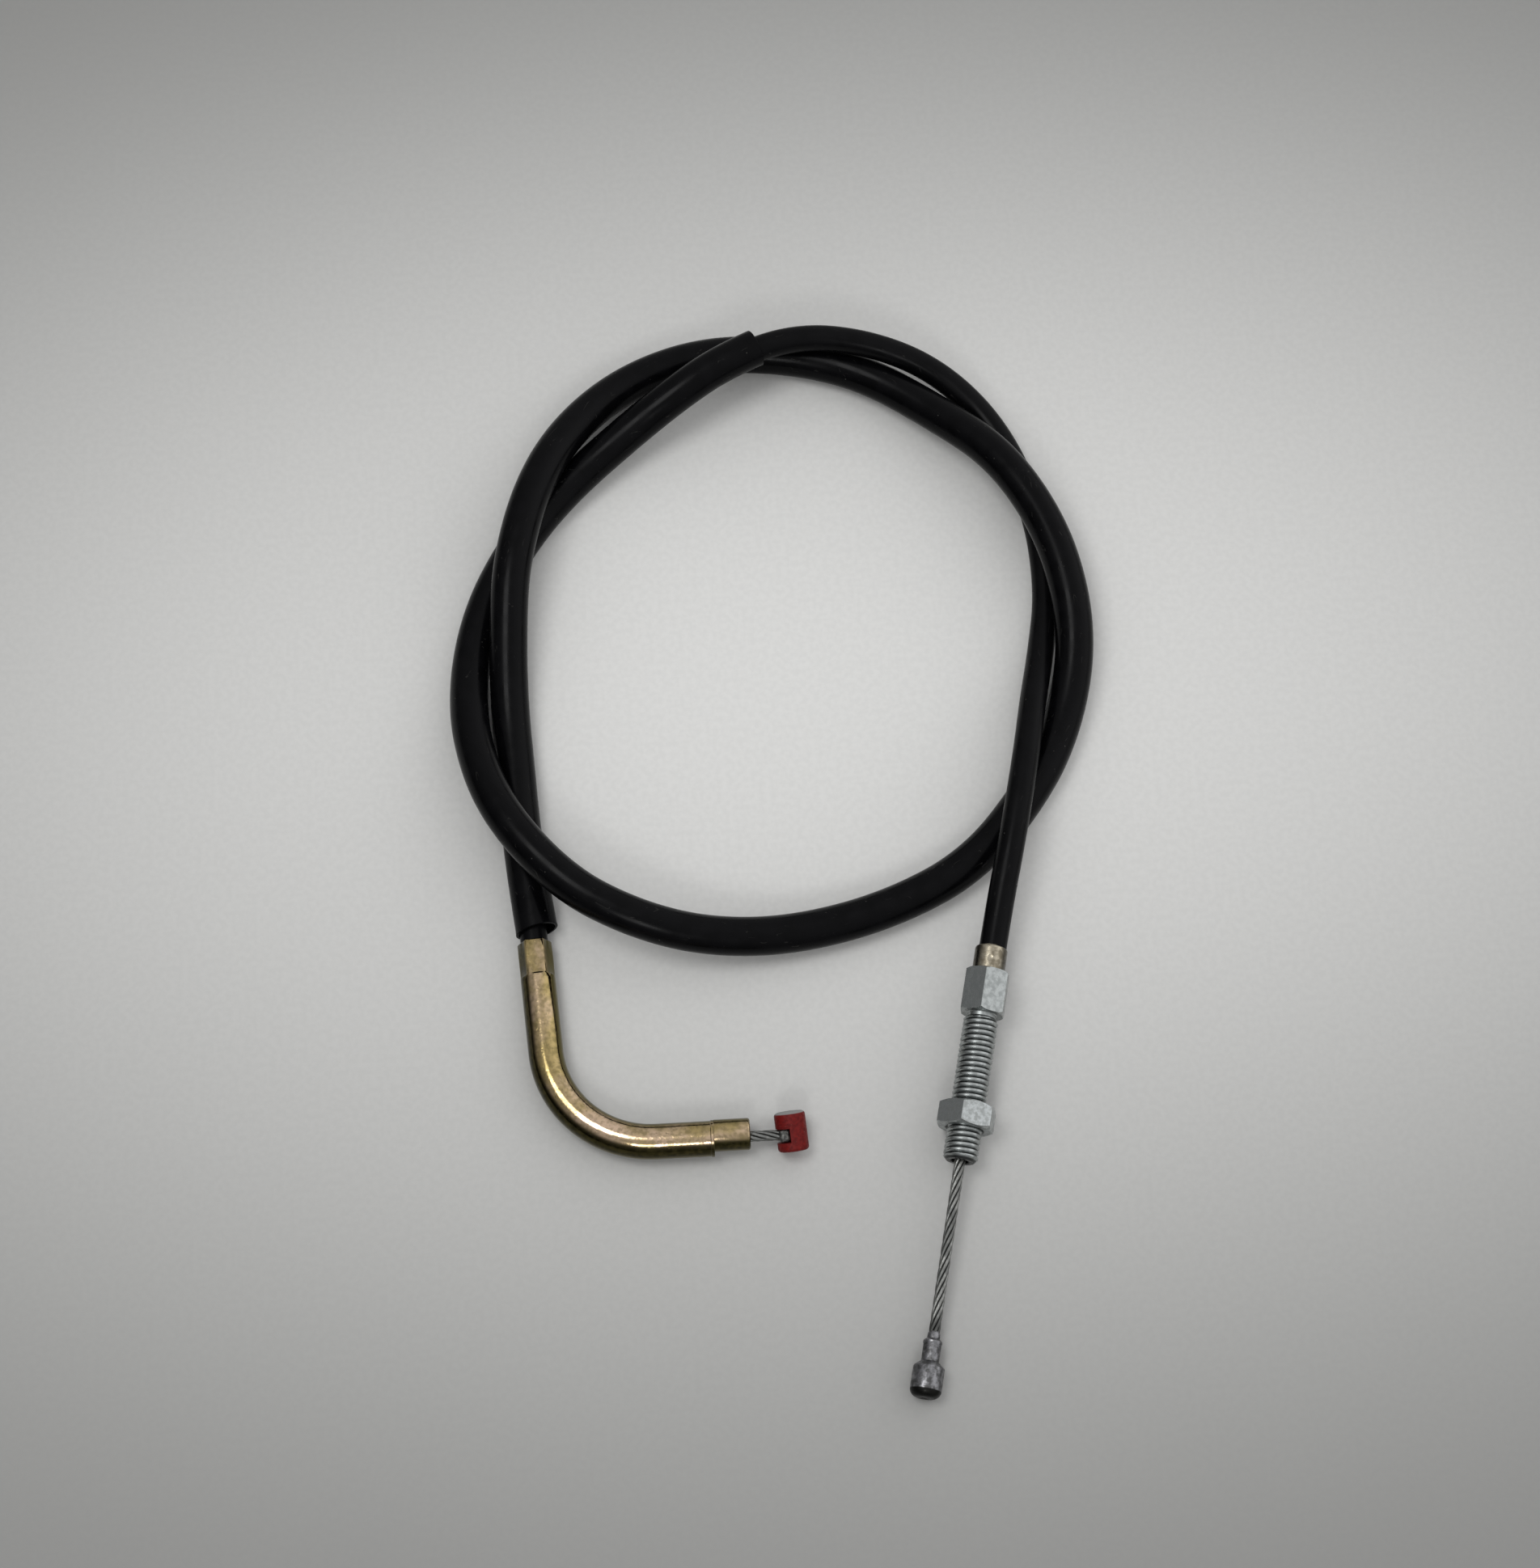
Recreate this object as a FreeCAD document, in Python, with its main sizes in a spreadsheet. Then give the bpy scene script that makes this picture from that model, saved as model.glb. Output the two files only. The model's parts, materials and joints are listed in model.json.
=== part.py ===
import FreeCAD, Part
import math
import os

# Motorcycle control cable lying coiled on a table, millimetres, +Z up, table at z = 0.
# A lever-end elbow pipe, a sheathed conduit in a loose outer sleeve, and a threaded
# adjuster at the arm end. A wire rope runs through all of it and pulls the two nipples.

SIZES = {
    # Wire rope and the layers round it
    "wire_radius": 1.25,
    "liner_radius": 1.9,
    "liner_bore_radius": 1.55,
    "armour_radius": 2.5,
    "armour_bore_radius": 2.0,
    "jacket_radius": 3.15,
    "jacket_bore_radius": 2.55,
    "sleeve_radius": 4.5,
    "sleeve_bore_radius": 3.95,
    "sleeve_gap": 3.0,
    "armour_tail": 10.0,
    "inner_wire_setback": 2.0,
    # Elbow pipe at the lever end
    "elbow_radius": 4.0,
    "elbow_bore_radius": 2.75,
    "elbow_bend_radius": 24.0,
    "elbow_turn": 86.1,
    "elbow_lower_straight": 13.0,
    "elbow_upper_straight": 26.45,
    "elbow_lip_radius": 4.15,
    "elbow_lip_length": 0.8,
    "crimp_flats": 6.95,
    "crimp_length": 8.3,
    # Nozzle pressed into the elbow
    "nozzle_radius": 3.6,
    "nozzle_length": 8.1,
    "nozzle_round": 0.6,
    "nozzle_offset": 0.65,
    "nozzle_tail_radius": 2.7,
    "nozzle_tail_length": 6.0,
    "nozzle_bore_radius": 1.6,
    "liner_end_gap": 0.5,
    # Barrel nipple at the lever end
    "lever_free_wire": 5.8,
    "lever_wire_stub": 15.8,
    "barrel_radius": 3.5,
    "barrel_length": 8.8,
    "barrel_edge": 0.8,
    "barrel_lean": 5.0,
    "barrel_tilt": 23.0,
    "barrel_offset": 0.7,
    "barrel_slot_width": 3.2,
    "barrel_slot_depth": 3.0,
    "solder_setback": 0.6,
    "solder_height": 4.6,
    "solder_gap": 0.05,
    "solder_behind_wire": 0.4,
    # Ferrule cap on the arm end of the conduit
    "cap_radius": 3.7,
    "cap_length": 12.0,
    "cap_wall": 1.0,
    "cap_round": 0.8,
    "cap_bore_radius": 3.2,
    "cap_hole_radius": 1.6,
    "cap_shown": 5.8,
    "cap_dimple_radius": 3.0,
    "cap_dimple_depth": 0.12,
    "cap_dimple_place": 3.3,
    # Adjuster: hexagon, relief neck and thread in one piece
    "hex_flats": 9.5,
    "hex_length": 10.1,
    "hex_roll": 4.8,
    "hex_chamfer": 0.5,
    "socket_clearance": 0.05,
    "socket_end_gap": 0.1,
    "neck_radius": 3.3,
    "neck_length": 0.9,
    "thread_radius": 3.95,
    "thread_length": 34.4,
    "thread_chamfer": 0.8,
    "adjuster_bore_radius": 2.0,
    # Lock nut on the thread
    "nut_flats": 12.0,
    "nut_length": 5.6,
    "nut_roll": 9.3,
    "nut_chamfer": 0.7,
    "nut_clearance": 0.05,
    "nut_from_hex": 21.4,
    # Nipple at the arm end
    "arm_free_wire": 41.1,
    "arm_wire_stub": 25.0,
    "arm_wire_setback": 1.0,
    "nipple_neck_radius": 2.0,
    "nipple_neck_length": 4.6,
    "nipple_radius": 3.5,
    "nipple_length": 7.8,
    "nipple_shoulder": 1.0,
    "nipple_chamfer": 1.9,
    # Where the arm end lies, seen from the corner of the elbow's centre lines
    "cap_x": 100.6,
    "cap_y": 40.05,
    "arm_heading": 12.5,
    "approach": 7.2,
    # The elbow's corner, seen from the centre of the fittings' box
    "corner_x": -48.49,
    "corner_y": 6.235,
}

# The cable's route after the elbow, seen from the elbow's corner: plan x, plan y and
# the height of the centre line. The loop is laid down by hand: it goes up the left
# side, round the coil, over and under itself, and ends pointing into the ferrule cap.
# The loose outer sleeve ends halfway between its last point and the first bare one.
SLEEVED_ROUTE = [
    (-4.83, 70.89, 4.5),
    (-6.2, 90.75, 4.5),
    (-7.3, 108.05, 5.6),
    (-6.9, 125.05, 10.2),
    (-5.4, 142.05, 14.2),
    (0.7, 163.05, 14.2),
    (10.6, 180.55, 9.8),
    (25.4, 194.15, 5.6),
    (43.9, 200.55, 4.5),
    (63.7, 199.05, 4.5),
    (82, 192.7, 4.6),
    (98.8, 179.25, 7.3),
    (112.1, 165.15, 12),
    (122, 146.75, 12.3),
    (126.35, 128.55, 10.9),
    (126.5, 112.55, 7.2),
    (121.85, 95.65, 4.6),
    (114, 80.7, 4.5),
    (98.7, 62.5, 4.5),
    (78.5, 52.4, 4.6),
    (56.3, 47.1, 5.4),
    (36.8, 46.65, 8.2),
    (20.3, 50.45, 12),
    (4.1, 59.45, 14.2),
    (-10.35, 77.9, 14),
    (-16.35, 97.85, 9.5),
    (-16.9, 116.05, 5.2),
    (-13.1, 133.65, 4.5),
    (-4.9, 149.85, 4.5),
    (6.85, 164.9, 4.5),
    (23.6, 178.15, 8),
    (35.3, 185.15, 12.8),
    (46.6, 192.25, 14.4),
]
BARE_ROUTE = [
    (64.8, 199.15, 14),
    (83.2, 198.1, 11.4),
    (99.9, 190.45, 8.2),
    (113.3, 175.95, 3.9),
    (120.6, 153.45, 3.3),
    (121.6, 132.05, 3.3),
    (118.4, 115.05, 5.1),
    (115.1, 101.05, 9.4),
    (112.3, 87.05, 13.2),
    (107.65, 67.05, 13.2),
]

# Each bend of the cable takes this share of the shorter run beside it.
BEND_SHARE = 0.45

doc = FreeCAD.newDocument("control_cable")
sheet = doc.addObject("Spreadsheet::Sheet", "sizes")
for row, (alias, size) in enumerate(SIZES.items(), start=1):
    sheet.set(f"A{row}", alias)
    sheet.set(f"B{row}", str(size))
    sheet.setAlias(f"B{row}", alias)
doc.recompute()


def size_of(alias):
    """The number that the sheet holds under this name."""
    return float(sheet.get(alias))


def primitive(kind, name, start=None, **formulas):
    """A Part primitive along its own Z, bound to the sheet, that starts at start if given."""
    piece = doc.addObject(kind, name)
    for prop, formula in formulas.items():
        piece.setExpression(prop, formula)
    if start:
        piece.setExpression("Placement.Base.z", start)
    return piece


def rod(name, radius, length, start=None):
    return primitive("Part::Cylinder", name, start, Radius=radius, Height=length)


def taper(name, first_radius, last_radius, length, start=None):
    return primitive("Part::Cone", name, start, Radius1=first_radius, Radius2=last_radius, Height=length)


def hexagon(name, flats, length):
    """A hexagonal bar with one corner on its own +X."""
    bar = primitive("Part::Prism", name, Circumradius=f"{flats} / sqrt(3)", Height=length)
    bar.Polygon = 6
    return bar


def fused(name, *pieces):
    whole = doc.addObject("Part::MultiFuse", name)
    whole.Shapes = list(pieces)
    return whole


def cut(name, base, tool):
    rest = doc.addObject("Part::Cut", name)
    rest.Base = base
    rest.Tool = tool
    return rest


def common(name, base, tool):
    shared = doc.addObject("Part::Common", name)
    shared.Base = base
    shared.Tool = tool
    return shared


def chamfered_hexagon(name, flats, length, chamfer):
    """A hexagonal bar whose corners are turned off at both ends."""
    bar = hexagon(f"{name}_bar", flats, length)
    corner = f"{flats} / sqrt(3)"
    ends = f"{corner} - {chamfer}"
    turned = fused(
        f"{name}_turned",
        taper(f"{name}_near", ends, corner, chamfer),
        rod(f"{name}_middle", corner, f"{length} - 2 * {chamfer}", chamfer),
        taper(f"{name}_far", corner, ends, chamfer, f"{length} - {chamfer}"),
    )
    return common(f"{name}_hexagon", bar, turned)


# Where the elbow's two legs and the arm end's axis lie, seen from the elbow's corner

sleeve_height = size_of("sleeve_radius")
corner = FreeCAD.Vector(0, 0, sleeve_height)
turn = math.radians(size_of("elbow_turn"))
tangent = size_of("elbow_bend_radius") * math.tan(turn / 2)
lower_leg = FreeCAD.Vector(1, 0, 0)
upper_leg = FreeCAD.Vector(math.cos(math.pi - turn), math.sin(math.pi - turn), 0)
pipe_mouth = corner + lower_leg * (tangent + size_of("elbow_lower_straight"))
nozzle_end = pipe_mouth + lower_leg * size_of("nozzle_length")
elbow_end = corner + upper_leg * (tangent + size_of("elbow_upper_straight"))
sleeve_start = elbow_end + upper_leg * size_of("sleeve_gap")

# The arm end rests on the lock nut's lowest corner and on the nipple, so it leans down.
nut_end = size_of("cap_shown") + size_of("hex_length") + size_of("nut_from_hex") + size_of("nut_length")
thread_end = size_of("cap_shown") + size_of("hex_length") + size_of("thread_length")
neck_start = thread_end + size_of("arm_free_wire")
nipple_edge = (
    neck_start + size_of("nipple_neck_length") + size_of("nipple_length") - size_of("nipple_chamfer")
)
nut_reach = size_of("nut_flats") / math.sqrt(3) * math.cos(math.radians(size_of("nut_roll")))
lean = math.atan((nut_reach - size_of("nipple_radius")) / (nipple_edge - nut_end))
heading = math.radians(size_of("arm_heading"))
outward = FreeCAD.Vector(
    -math.sin(heading) * math.cos(lean), -math.cos(heading) * math.cos(lean), -math.sin(lean)
)
cap_height = nut_reach * math.cos(lean) + nut_end * math.sin(lean)
cap_top = FreeCAD.Vector(size_of("cap_x"), size_of("cap_y"), cap_height)
conduit_end = cap_top + outward * (size_of("cap_length") - size_of("cap_wall"))

# The whole centre line from the elbow's corner to the end of the conduit in its cap

centre_line = [corner]
centre_line += [FreeCAD.Vector(*point) for point in SLEEVED_ROUTE + BARE_ROUTE]
centre_line += [cap_top - outward * size_of("approach"), conduit_end]


def bend_radii(points, first_radius):
    """The arc at each inner point: the elbow's own first, then a share of the runs."""
    radii = {1: first_radius}
    print("bend radii from the elbow to the cap, mm:")
    for i in range(2, len(points) - 1):
        before = points[i] - points[i - 1]
        after = points[i + 1] - points[i]
        half_turn = before.getAngle(after) / 2
        radii[i] = BEND_SHARE * min(before.Length, after.Length) / math.tan(half_turn)
        print(f"  {i}: {radii[i]:.1f}", end="")
    print()
    return radii


# The centre line starts in the nozzle, so the elbow's corner is its inner point 1.
centre_line.insert(0, nozzle_end)
radii = bend_radii(centre_line, size_of("elbow_bend_radius"))
first_run = centre_line[2] - sleeve_start
second_run = centre_line[3] - centre_line[2]
print(f"first run {first_run.Length:.1f}, second run {second_run.Length:.1f}")


def route_wire(start, first, last, end):
    """Straight runs and tangent arcs from start, round points first to last, to end."""
    points = [start] + centre_line[first:last + 1] + [end]
    edges = []
    here = start
    for i in range(1, len(points) - 1):
        back = (points[i - 1] - points[i]).normalize()
        on = (points[i + 1] - points[i]).normalize()
        half_turn = back.negative().getAngle(on) / 2
        radius = radii[first + i - 1]
        reach = radius * math.tan(half_turn)
        arc_start = points[i] + back * reach
        arc_end = points[i] + on * reach
        inward = (back + on).normalize()
        arc_middle = points[i] + inward * (radius / math.cos(half_turn) - radius)
        if (arc_start - here).Length > 0.001:
            edges.append(Part.LineSegment(here, arc_start).toShape())
        edges.append(Part.Arc(arc_start, arc_middle, arc_end).toShape())
        here = arc_end
    edges.append(Part.LineSegment(here, end).toShape())
    return Part.Wire(edges)


def tube(name, wire, radius, bore_radius=0.0):
    """A tube, or a solid cord without a bore, along the wire, with its volume tested."""
    start = wire.Edges[0].valueAt(wire.Edges[0].FirstParameter)
    along = wire.Edges[0].tangentAt(wire.Edges[0].FirstParameter)
    rings = [Part.Wire(Part.makeCircle(radius, start, along))]
    area = math.pi * radius ** 2
    if bore_radius:
        rings.append(Part.Wire(Part.makeCircle(bore_radius, start, along)))
        area -= math.pi * bore_radius ** 2
    section = Part.Face(rings[0])
    if bore_radius:
        section = section.cut(Part.Face(rings[1])).Faces[0]
    solid = wire.makePipe(section)
    share = solid.Volume / (area * wire.Length)
    print(f"{name}: length {wire.Length:.1f}, volume over section times length {share:.5f}")
    if abs(share - 1) > 0.001:
        raise ValueError(f"{name} has the wrong volume")
    piece = doc.addObject("Part::Feature", name)
    piece.Shape = solid
    return piece


def facing(direction, up=FreeCAD.Vector(0, 0, 1)):
    """The turn that takes a piece's own Z to direction and its own X nearest to up."""
    side = direction.cross(up).normalize()
    return FreeCAD.Rotation(side.cross(direction), side, direction, "ZXY")


sub_parts = []


def finish(piece, label, place):
    piece.Label = label
    piece.Placement = place
    sub_parts.append(piece)


def on_arm_axis(distance, roll=0.0):
    """A place on the arm end's axis, distance from the cap's top, turned about the axis."""
    turned = facing(outward).multiply(FreeCAD.Rotation(FreeCAD.Vector(0, 0, 1), roll))
    return FreeCAD.Placement(cap_top + outward * distance, turned)


# Elbow pipe: lower leg, bend and upper leg with its crimped end

def elbow_form(name, radius):
    """The elbow's outline or its bore, as one solid about the elbow's corner."""
    bend = doc.addObject("Part::Torus", f"{name}_bend")
    bend.setExpression("Radius1", "sizes.elbow_bend_radius")
    bend.setExpression("Radius2", radius)
    bend.setExpression("Angle3", "sizes.elbow_turn")
    bend.Placement = FreeCAD.Placement(
        FreeCAD.Vector(tangent, size_of("elbow_bend_radius"), 0),
        FreeCAD.Rotation(FreeCAD.Vector(0, 0, 1), 270 - size_of("elbow_turn")),
    )
    lower = rod(f"{name}_lower", radius, "sizes.elbow_lower_straight")
    lower.Placement = FreeCAD.Placement(lower_leg * tangent, facing(lower_leg))
    upper = rod(f"{name}_upper", radius, "sizes.elbow_upper_straight")
    upper.Placement = FreeCAD.Placement(upper_leg * tangent, facing(upper_leg))
    return fused(f"{name}_form", lower, bend, upper)


lip = rod("elbow_lip", "sizes.elbow_lip_radius", "sizes.elbow_lip_length")
lip.Placement = FreeCAD.Placement(
    pipe_mouth - corner - lower_leg * size_of("elbow_lip_length"), facing(lower_leg)
)
crimp_ring = cut(
    "crimp_ring",
    rod("crimp_blank", "sizes.elbow_radius + 1", "sizes.crimp_length + 1"),
    hexagon("crimp_hexagon", "sizes.crimp_flats", "sizes.crimp_length + 1"),
)
crimp_ring.Placement = FreeCAD.Placement(
    elbow_end - corner - upper_leg * size_of("crimp_length"),
    facing(upper_leg).multiply(FreeCAD.Rotation(FreeCAD.Vector(0, 0, 1), 30)),
)
elbow_outline = fused("elbow_outline", elbow_form("elbow", "sizes.elbow_radius"), lip)
elbow_crimped = cut("elbow_crimped", elbow_outline, crimp_ring)
elbow = cut("elbow", elbow_crimped, elbow_form("elbow_bore", "sizes.elbow_bore_radius"))
finish(elbow, "elbow_tube", FreeCAD.Placement(corner, FreeCAD.Rotation()))

# Nozzle: a rounded guide whose tail is pressed into the elbow's lower leg. Its head
# stands off the pipe's line, to the side of the upper leg, which is its own -Y.

nozzle_head = doc.addObject("Part::Fillet", "nozzle_head")
nozzle_blank = rod("nozzle_blank", "sizes.nozzle_radius", "sizes.nozzle_length")
nozzle_blank.setExpression("Placement.Base.y", "-sizes.nozzle_offset")
doc.recompute()
nozzle_head.Base = nozzle_blank
head_edges = nozzle_blank.Shape.Edges
far_ring = max(range(len(head_edges)), key=lambda i: head_edges[i].CenterOfMass.z)
nozzle_head.Edges = [(far_ring + 1, size_of("nozzle_round"), size_of("nozzle_round"))]
nozzle_tail = rod(
    "nozzle_tail", "sizes.nozzle_tail_radius", "sizes.nozzle_tail_length", "-sizes.nozzle_tail_length"
)
nozzle_bore = rod(
    "nozzle_bore",
    "sizes.nozzle_bore_radius",
    "sizes.nozzle_tail_length + sizes.nozzle_length",
    "-sizes.nozzle_tail_length",
)
nozzle = cut("nozzle", fused("nozzle_solid", nozzle_head, nozzle_tail), nozzle_bore)
finish(nozzle, "elbow_nozzle", FreeCAD.Placement(pipe_mouth, facing(lower_leg)))

# Cable: outer sleeve, jacket, armour, liner and the middle of the wire rope

last_point = len(centre_line) - 2
sleeve_last = len(SLEEVED_ROUTE) + 1
sleeve_end = (centre_line[sleeve_last] + centre_line[sleeve_last + 1]) * 0.5
sleeve = tube(
    "sleeve",
    route_wire(sleeve_start, 2, sleeve_last, sleeve_end),
    size_of("sleeve_radius"),
    size_of("sleeve_bore_radius"),
)
finish(sleeve, "outer_sleeve", FreeCAD.Placement())
jacket = tube(
    "jacket",
    route_wire(elbow_end, 2, last_point, conduit_end),
    size_of("jacket_radius"),
    size_of("jacket_bore_radius"),
)
finish(jacket, "conduit_jacket", FreeCAD.Placement())
armour = tube(
    "armour",
    route_wire(elbow_end - upper_leg * size_of("armour_tail"), 2, last_point, conduit_end),
    size_of("armour_radius"),
    size_of("armour_bore_radius"),
)
finish(armour, "conduit_armour", FreeCAD.Placement())
liner_start = pipe_mouth - lower_leg * (size_of("nozzle_tail_length") + size_of("liner_end_gap"))
liner = tube(
    "liner",
    route_wire(liner_start, 1, last_point, conduit_end),
    size_of("liner_radius"),
    size_of("liner_bore_radius"),
)
finish(liner, "conduit_liner", FreeCAD.Placement())
wire_start = corner + lower_leg * tangent
wire_end = conduit_end - outward * size_of("inner_wire_setback")
inner_wire = tube("wire", route_wire(wire_start, 1, last_point, wire_end), size_of("wire_radius"))
finish(inner_wire, "inner_wire", FreeCAD.Placement())

# Lever end: the free wire, its barrel nipple and the solder in the barrel's slot

barrel_centre = nozzle_end + lower_leg * (size_of("lever_free_wire") + size_of("barrel_radius"))
slot_bottom = "sizes.barrel_slot_depth - sizes.barrel_radius"
lever_wire = rod(
    "lever_wire",
    "sizes.wire_radius",
    "sizes.lever_wire_stub + sizes.lever_free_wire + sizes.barrel_slot_depth"
    " - sizes.solder_behind_wire",
)
finish(
    lever_wire,
    "lever_wire",
    FreeCAD.Placement(nozzle_end - lower_leg * size_of("lever_wire_stub"), facing(lower_leg)),
)


def slot_box(name, near_side, width, height):
    """A block in the barrel's slot, from near_side to the slot's bottom, bound to the sheet."""
    block = doc.addObject("Part::Box", name)
    block.setExpression("Length", f"{slot_bottom} - ({near_side})")
    block.setExpression("Width", height)
    block.setExpression("Height", width)
    block.setExpression("Placement.Base.x", near_side)
    block.setExpression("Placement.Base.y", f"-({height}) / 2")
    block.setExpression("Placement.Base.z", f"-({width}) / 2")
    return block


barrel_bar = fused(
    "barrel_bar",
    taper(
        "barrel_near",
        "sizes.barrel_radius - sizes.barrel_edge",
        "sizes.barrel_radius",
        "sizes.barrel_edge",
        "sizes.barrel_offset - sizes.barrel_length / 2",
    ),
    rod(
        "barrel_middle",
        "sizes.barrel_radius",
        "sizes.barrel_length - 2 * sizes.barrel_edge",
        "sizes.barrel_offset + sizes.barrel_edge - sizes.barrel_length / 2",
    ),
    taper(
        "barrel_far",
        "sizes.barrel_radius",
        "sizes.barrel_radius - sizes.barrel_edge",
        "sizes.barrel_edge",
        "sizes.barrel_offset + sizes.barrel_length / 2 - sizes.barrel_edge",
    ),
)
barrel_slot = slot_box(
    "barrel_slot", "-sizes.barrel_radius - 1", "sizes.barrel_slot_width", "2 * sizes.barrel_radius + 2"
)
barrel = cut("barrel", barrel_bar, barrel_slot)
# The barrel's own Z lies across the wire, its own X away from the nozzle. Its slot is not
# in the middle of its length, and it is tilted about the wire, so its far end is raised.
barrel_turn = FreeCAD.Rotation(
    FreeCAD.Vector(1, 0, 0), FreeCAD.Vector(0, 0, -1), FreeCAD.Vector(0, 1, 0), "ZXY"
)
barrel_lean = FreeCAD.Rotation(FreeCAD.Vector(0, 0, 1), size_of("barrel_lean"))
barrel_tilt = FreeCAD.Rotation(lower_leg, size_of("barrel_tilt"))
barrel_place = FreeCAD.Placement(barrel_centre, barrel_lean.multiply(barrel_tilt).multiply(barrel_turn))
finish(barrel, "lever_barrel", barrel_place)
solder_block = slot_box(
    "solder_block",
    "sizes.solder_setback - sizes.barrel_radius",
    "sizes.barrel_slot_width",
    "sizes.solder_height",
)
# The wire's own line, seen from the leaning barrel, is where the solder's hole goes.
wire_way = barrel_place.Rotation.inverted().multVec(lower_leg)
wire_line = FreeCAD.Rotation(FreeCAD.Vector(0, 0, 1), wire_way)
solder_hole = rod(
    "solder_hole",
    "sizes.wire_radius + sizes.solder_gap",
    "sizes.barrel_radius + sizes.barrel_slot_depth - sizes.solder_behind_wire",
)
hole_start = wire_way * -2 * size_of("barrel_radius")
solder_hole.Placement = FreeCAD.Placement(hole_start, wire_line)
solder = cut("solder", solder_block, solder_hole)
finish(solder, "lever_solder", barrel_place)

# Arm end: the ferrule cap on the conduit's end

cap_blank = rod("cap_blank", "sizes.cap_radius", "sizes.cap_length")
doc.recompute()
cap_body = doc.addObject("Part::Fillet", "cap_body")
cap_body.Base = cap_blank
cap_edges = cap_blank.Shape.Edges
near_ring = min(range(len(cap_edges)), key=lambda i: cap_edges[i].CenterOfMass.z)
cap_round = min(size_of("cap_round"), 0.9 * (size_of("cap_radius") - size_of("cap_bore_radius")))
cap_body.Edges = [(near_ring + 1, cap_round, cap_round)]
dimple = primitive("Part::Sphere", "cap_dimple", "sizes.cap_dimple_place", Radius="sizes.cap_dimple_radius")
dimple.setExpression(
    "Placement.Base.x", "sizes.cap_radius + sizes.cap_dimple_radius - sizes.cap_dimple_depth"
)
cap_hollow = fused(
    "cap_hollow",
    rod("cap_bore", "sizes.cap_bore_radius", "sizes.cap_length - sizes.cap_wall"),
    rod("cap_hole", "sizes.cap_hole_radius", "sizes.cap_length"),
    dimple,
)
cap = cut("cap", cap_body, cap_hollow)
finish(cap, "ferrule_cap", on_arm_axis(0))

# Arm end: the adjuster, a hexagon with a socket for the cap, a relief neck and a thread

adjuster_solid = fused(
    "adjuster_solid",
    chamfered_hexagon("adjuster", "sizes.hex_flats", "sizes.hex_length", "sizes.hex_chamfer"),
    rod("adjuster_neck", "sizes.neck_radius", "sizes.neck_length", "sizes.hex_length"),
    rod(
        "adjuster_thread",
        "sizes.thread_radius",
        "sizes.thread_length - sizes.neck_length - sizes.thread_chamfer",
        "sizes.hex_length + sizes.neck_length",
    ),
    taper(
        "adjuster_tip",
        "sizes.thread_radius",
        "sizes.thread_radius - sizes.thread_chamfer",
        "sizes.thread_chamfer",
        "sizes.hex_length + sizes.thread_length - sizes.thread_chamfer",
    ),
)
adjuster_hollow = fused(
    "adjuster_hollow",
    rod(
        "adjuster_socket",
        "sizes.cap_radius + sizes.socket_clearance",
        "sizes.cap_length - sizes.cap_shown + sizes.socket_end_gap",
    ),
    rod("adjuster_bore", "sizes.adjuster_bore_radius", "sizes.hex_length + sizes.thread_length"),
)
adjuster = cut("adjuster", adjuster_solid, adjuster_hollow)
finish(adjuster, "adjuster_body", on_arm_axis(size_of("cap_shown"), size_of("hex_roll")))

# Arm end: the lock nut on the thread

nut = cut(
    "nut",
    chamfered_hexagon("nut", "sizes.nut_flats", "sizes.nut_length", "sizes.nut_chamfer"),
    rod("nut_bore", "sizes.thread_radius + sizes.nut_clearance", "sizes.nut_length"),
)
nut_start = nut_end - size_of("nut_length")
finish(nut, "lock_nut", on_arm_axis(nut_start, size_of("nut_roll")))

# Arm end: the free wire and its nipple

arm_wire = rod(
    "arm_wire",
    "sizes.wire_radius",
    "sizes.arm_wire_stub + sizes.arm_free_wire + sizes.nipple_neck_length"
    " + sizes.nipple_length - sizes.arm_wire_setback",
)
finish(arm_wire, "arm_wire", on_arm_axis(thread_end - size_of("arm_wire_stub")))
nipple_solid = fused(
    "nipple_solid",
    rod("nipple_neck", "sizes.nipple_neck_radius", "sizes.nipple_neck_length"),
    taper(
        "nipple_shoulder",
        "sizes.nipple_radius - sizes.nipple_shoulder",
        "sizes.nipple_radius",
        "sizes.nipple_shoulder",
        "sizes.nipple_neck_length",
    ),
    rod(
        "nipple_barrel",
        "sizes.nipple_radius",
        "sizes.nipple_length - sizes.nipple_shoulder - sizes.nipple_chamfer",
        "sizes.nipple_neck_length + sizes.nipple_shoulder",
    ),
    taper(
        "nipple_end",
        "sizes.nipple_radius",
        "sizes.nipple_radius - sizes.nipple_chamfer",
        "sizes.nipple_chamfer",
        "sizes.nipple_neck_length + sizes.nipple_length - sizes.nipple_chamfer",
    ),
)
nipple_hole = rod(
    "nipple_hole",
    "sizes.wire_radius + sizes.solder_gap",
    "sizes.nipple_neck_length + sizes.nipple_length - sizes.arm_wire_setback",
)
nipple = cut("nipple", nipple_solid, nipple_hole)
finish(nipple, "arm_nipple", on_arm_axis(neck_start))

# Everything is moved together, so that the fittings' box is centred on the origin.

from_origin = FreeCAD.Vector(size_of("corner_x"), size_of("corner_y"), 0)
for piece in sub_parts:
    piece.Placement = FreeCAD.Placement(from_origin, FreeCAD.Rotation()).multiply(piece.Placement)
doc.recompute()

for obj in doc.Objects:
    if "Invalid" in obj.State or "Error" in obj.State:
        raise ValueError(f"{obj.Name} failed: {obj.State}")
for piece in sub_parts:
    if piece.Shape.isNull() or not piece.Shape.isValid():
        raise ValueError(f"{piece.Label} has no valid shape")

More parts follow.
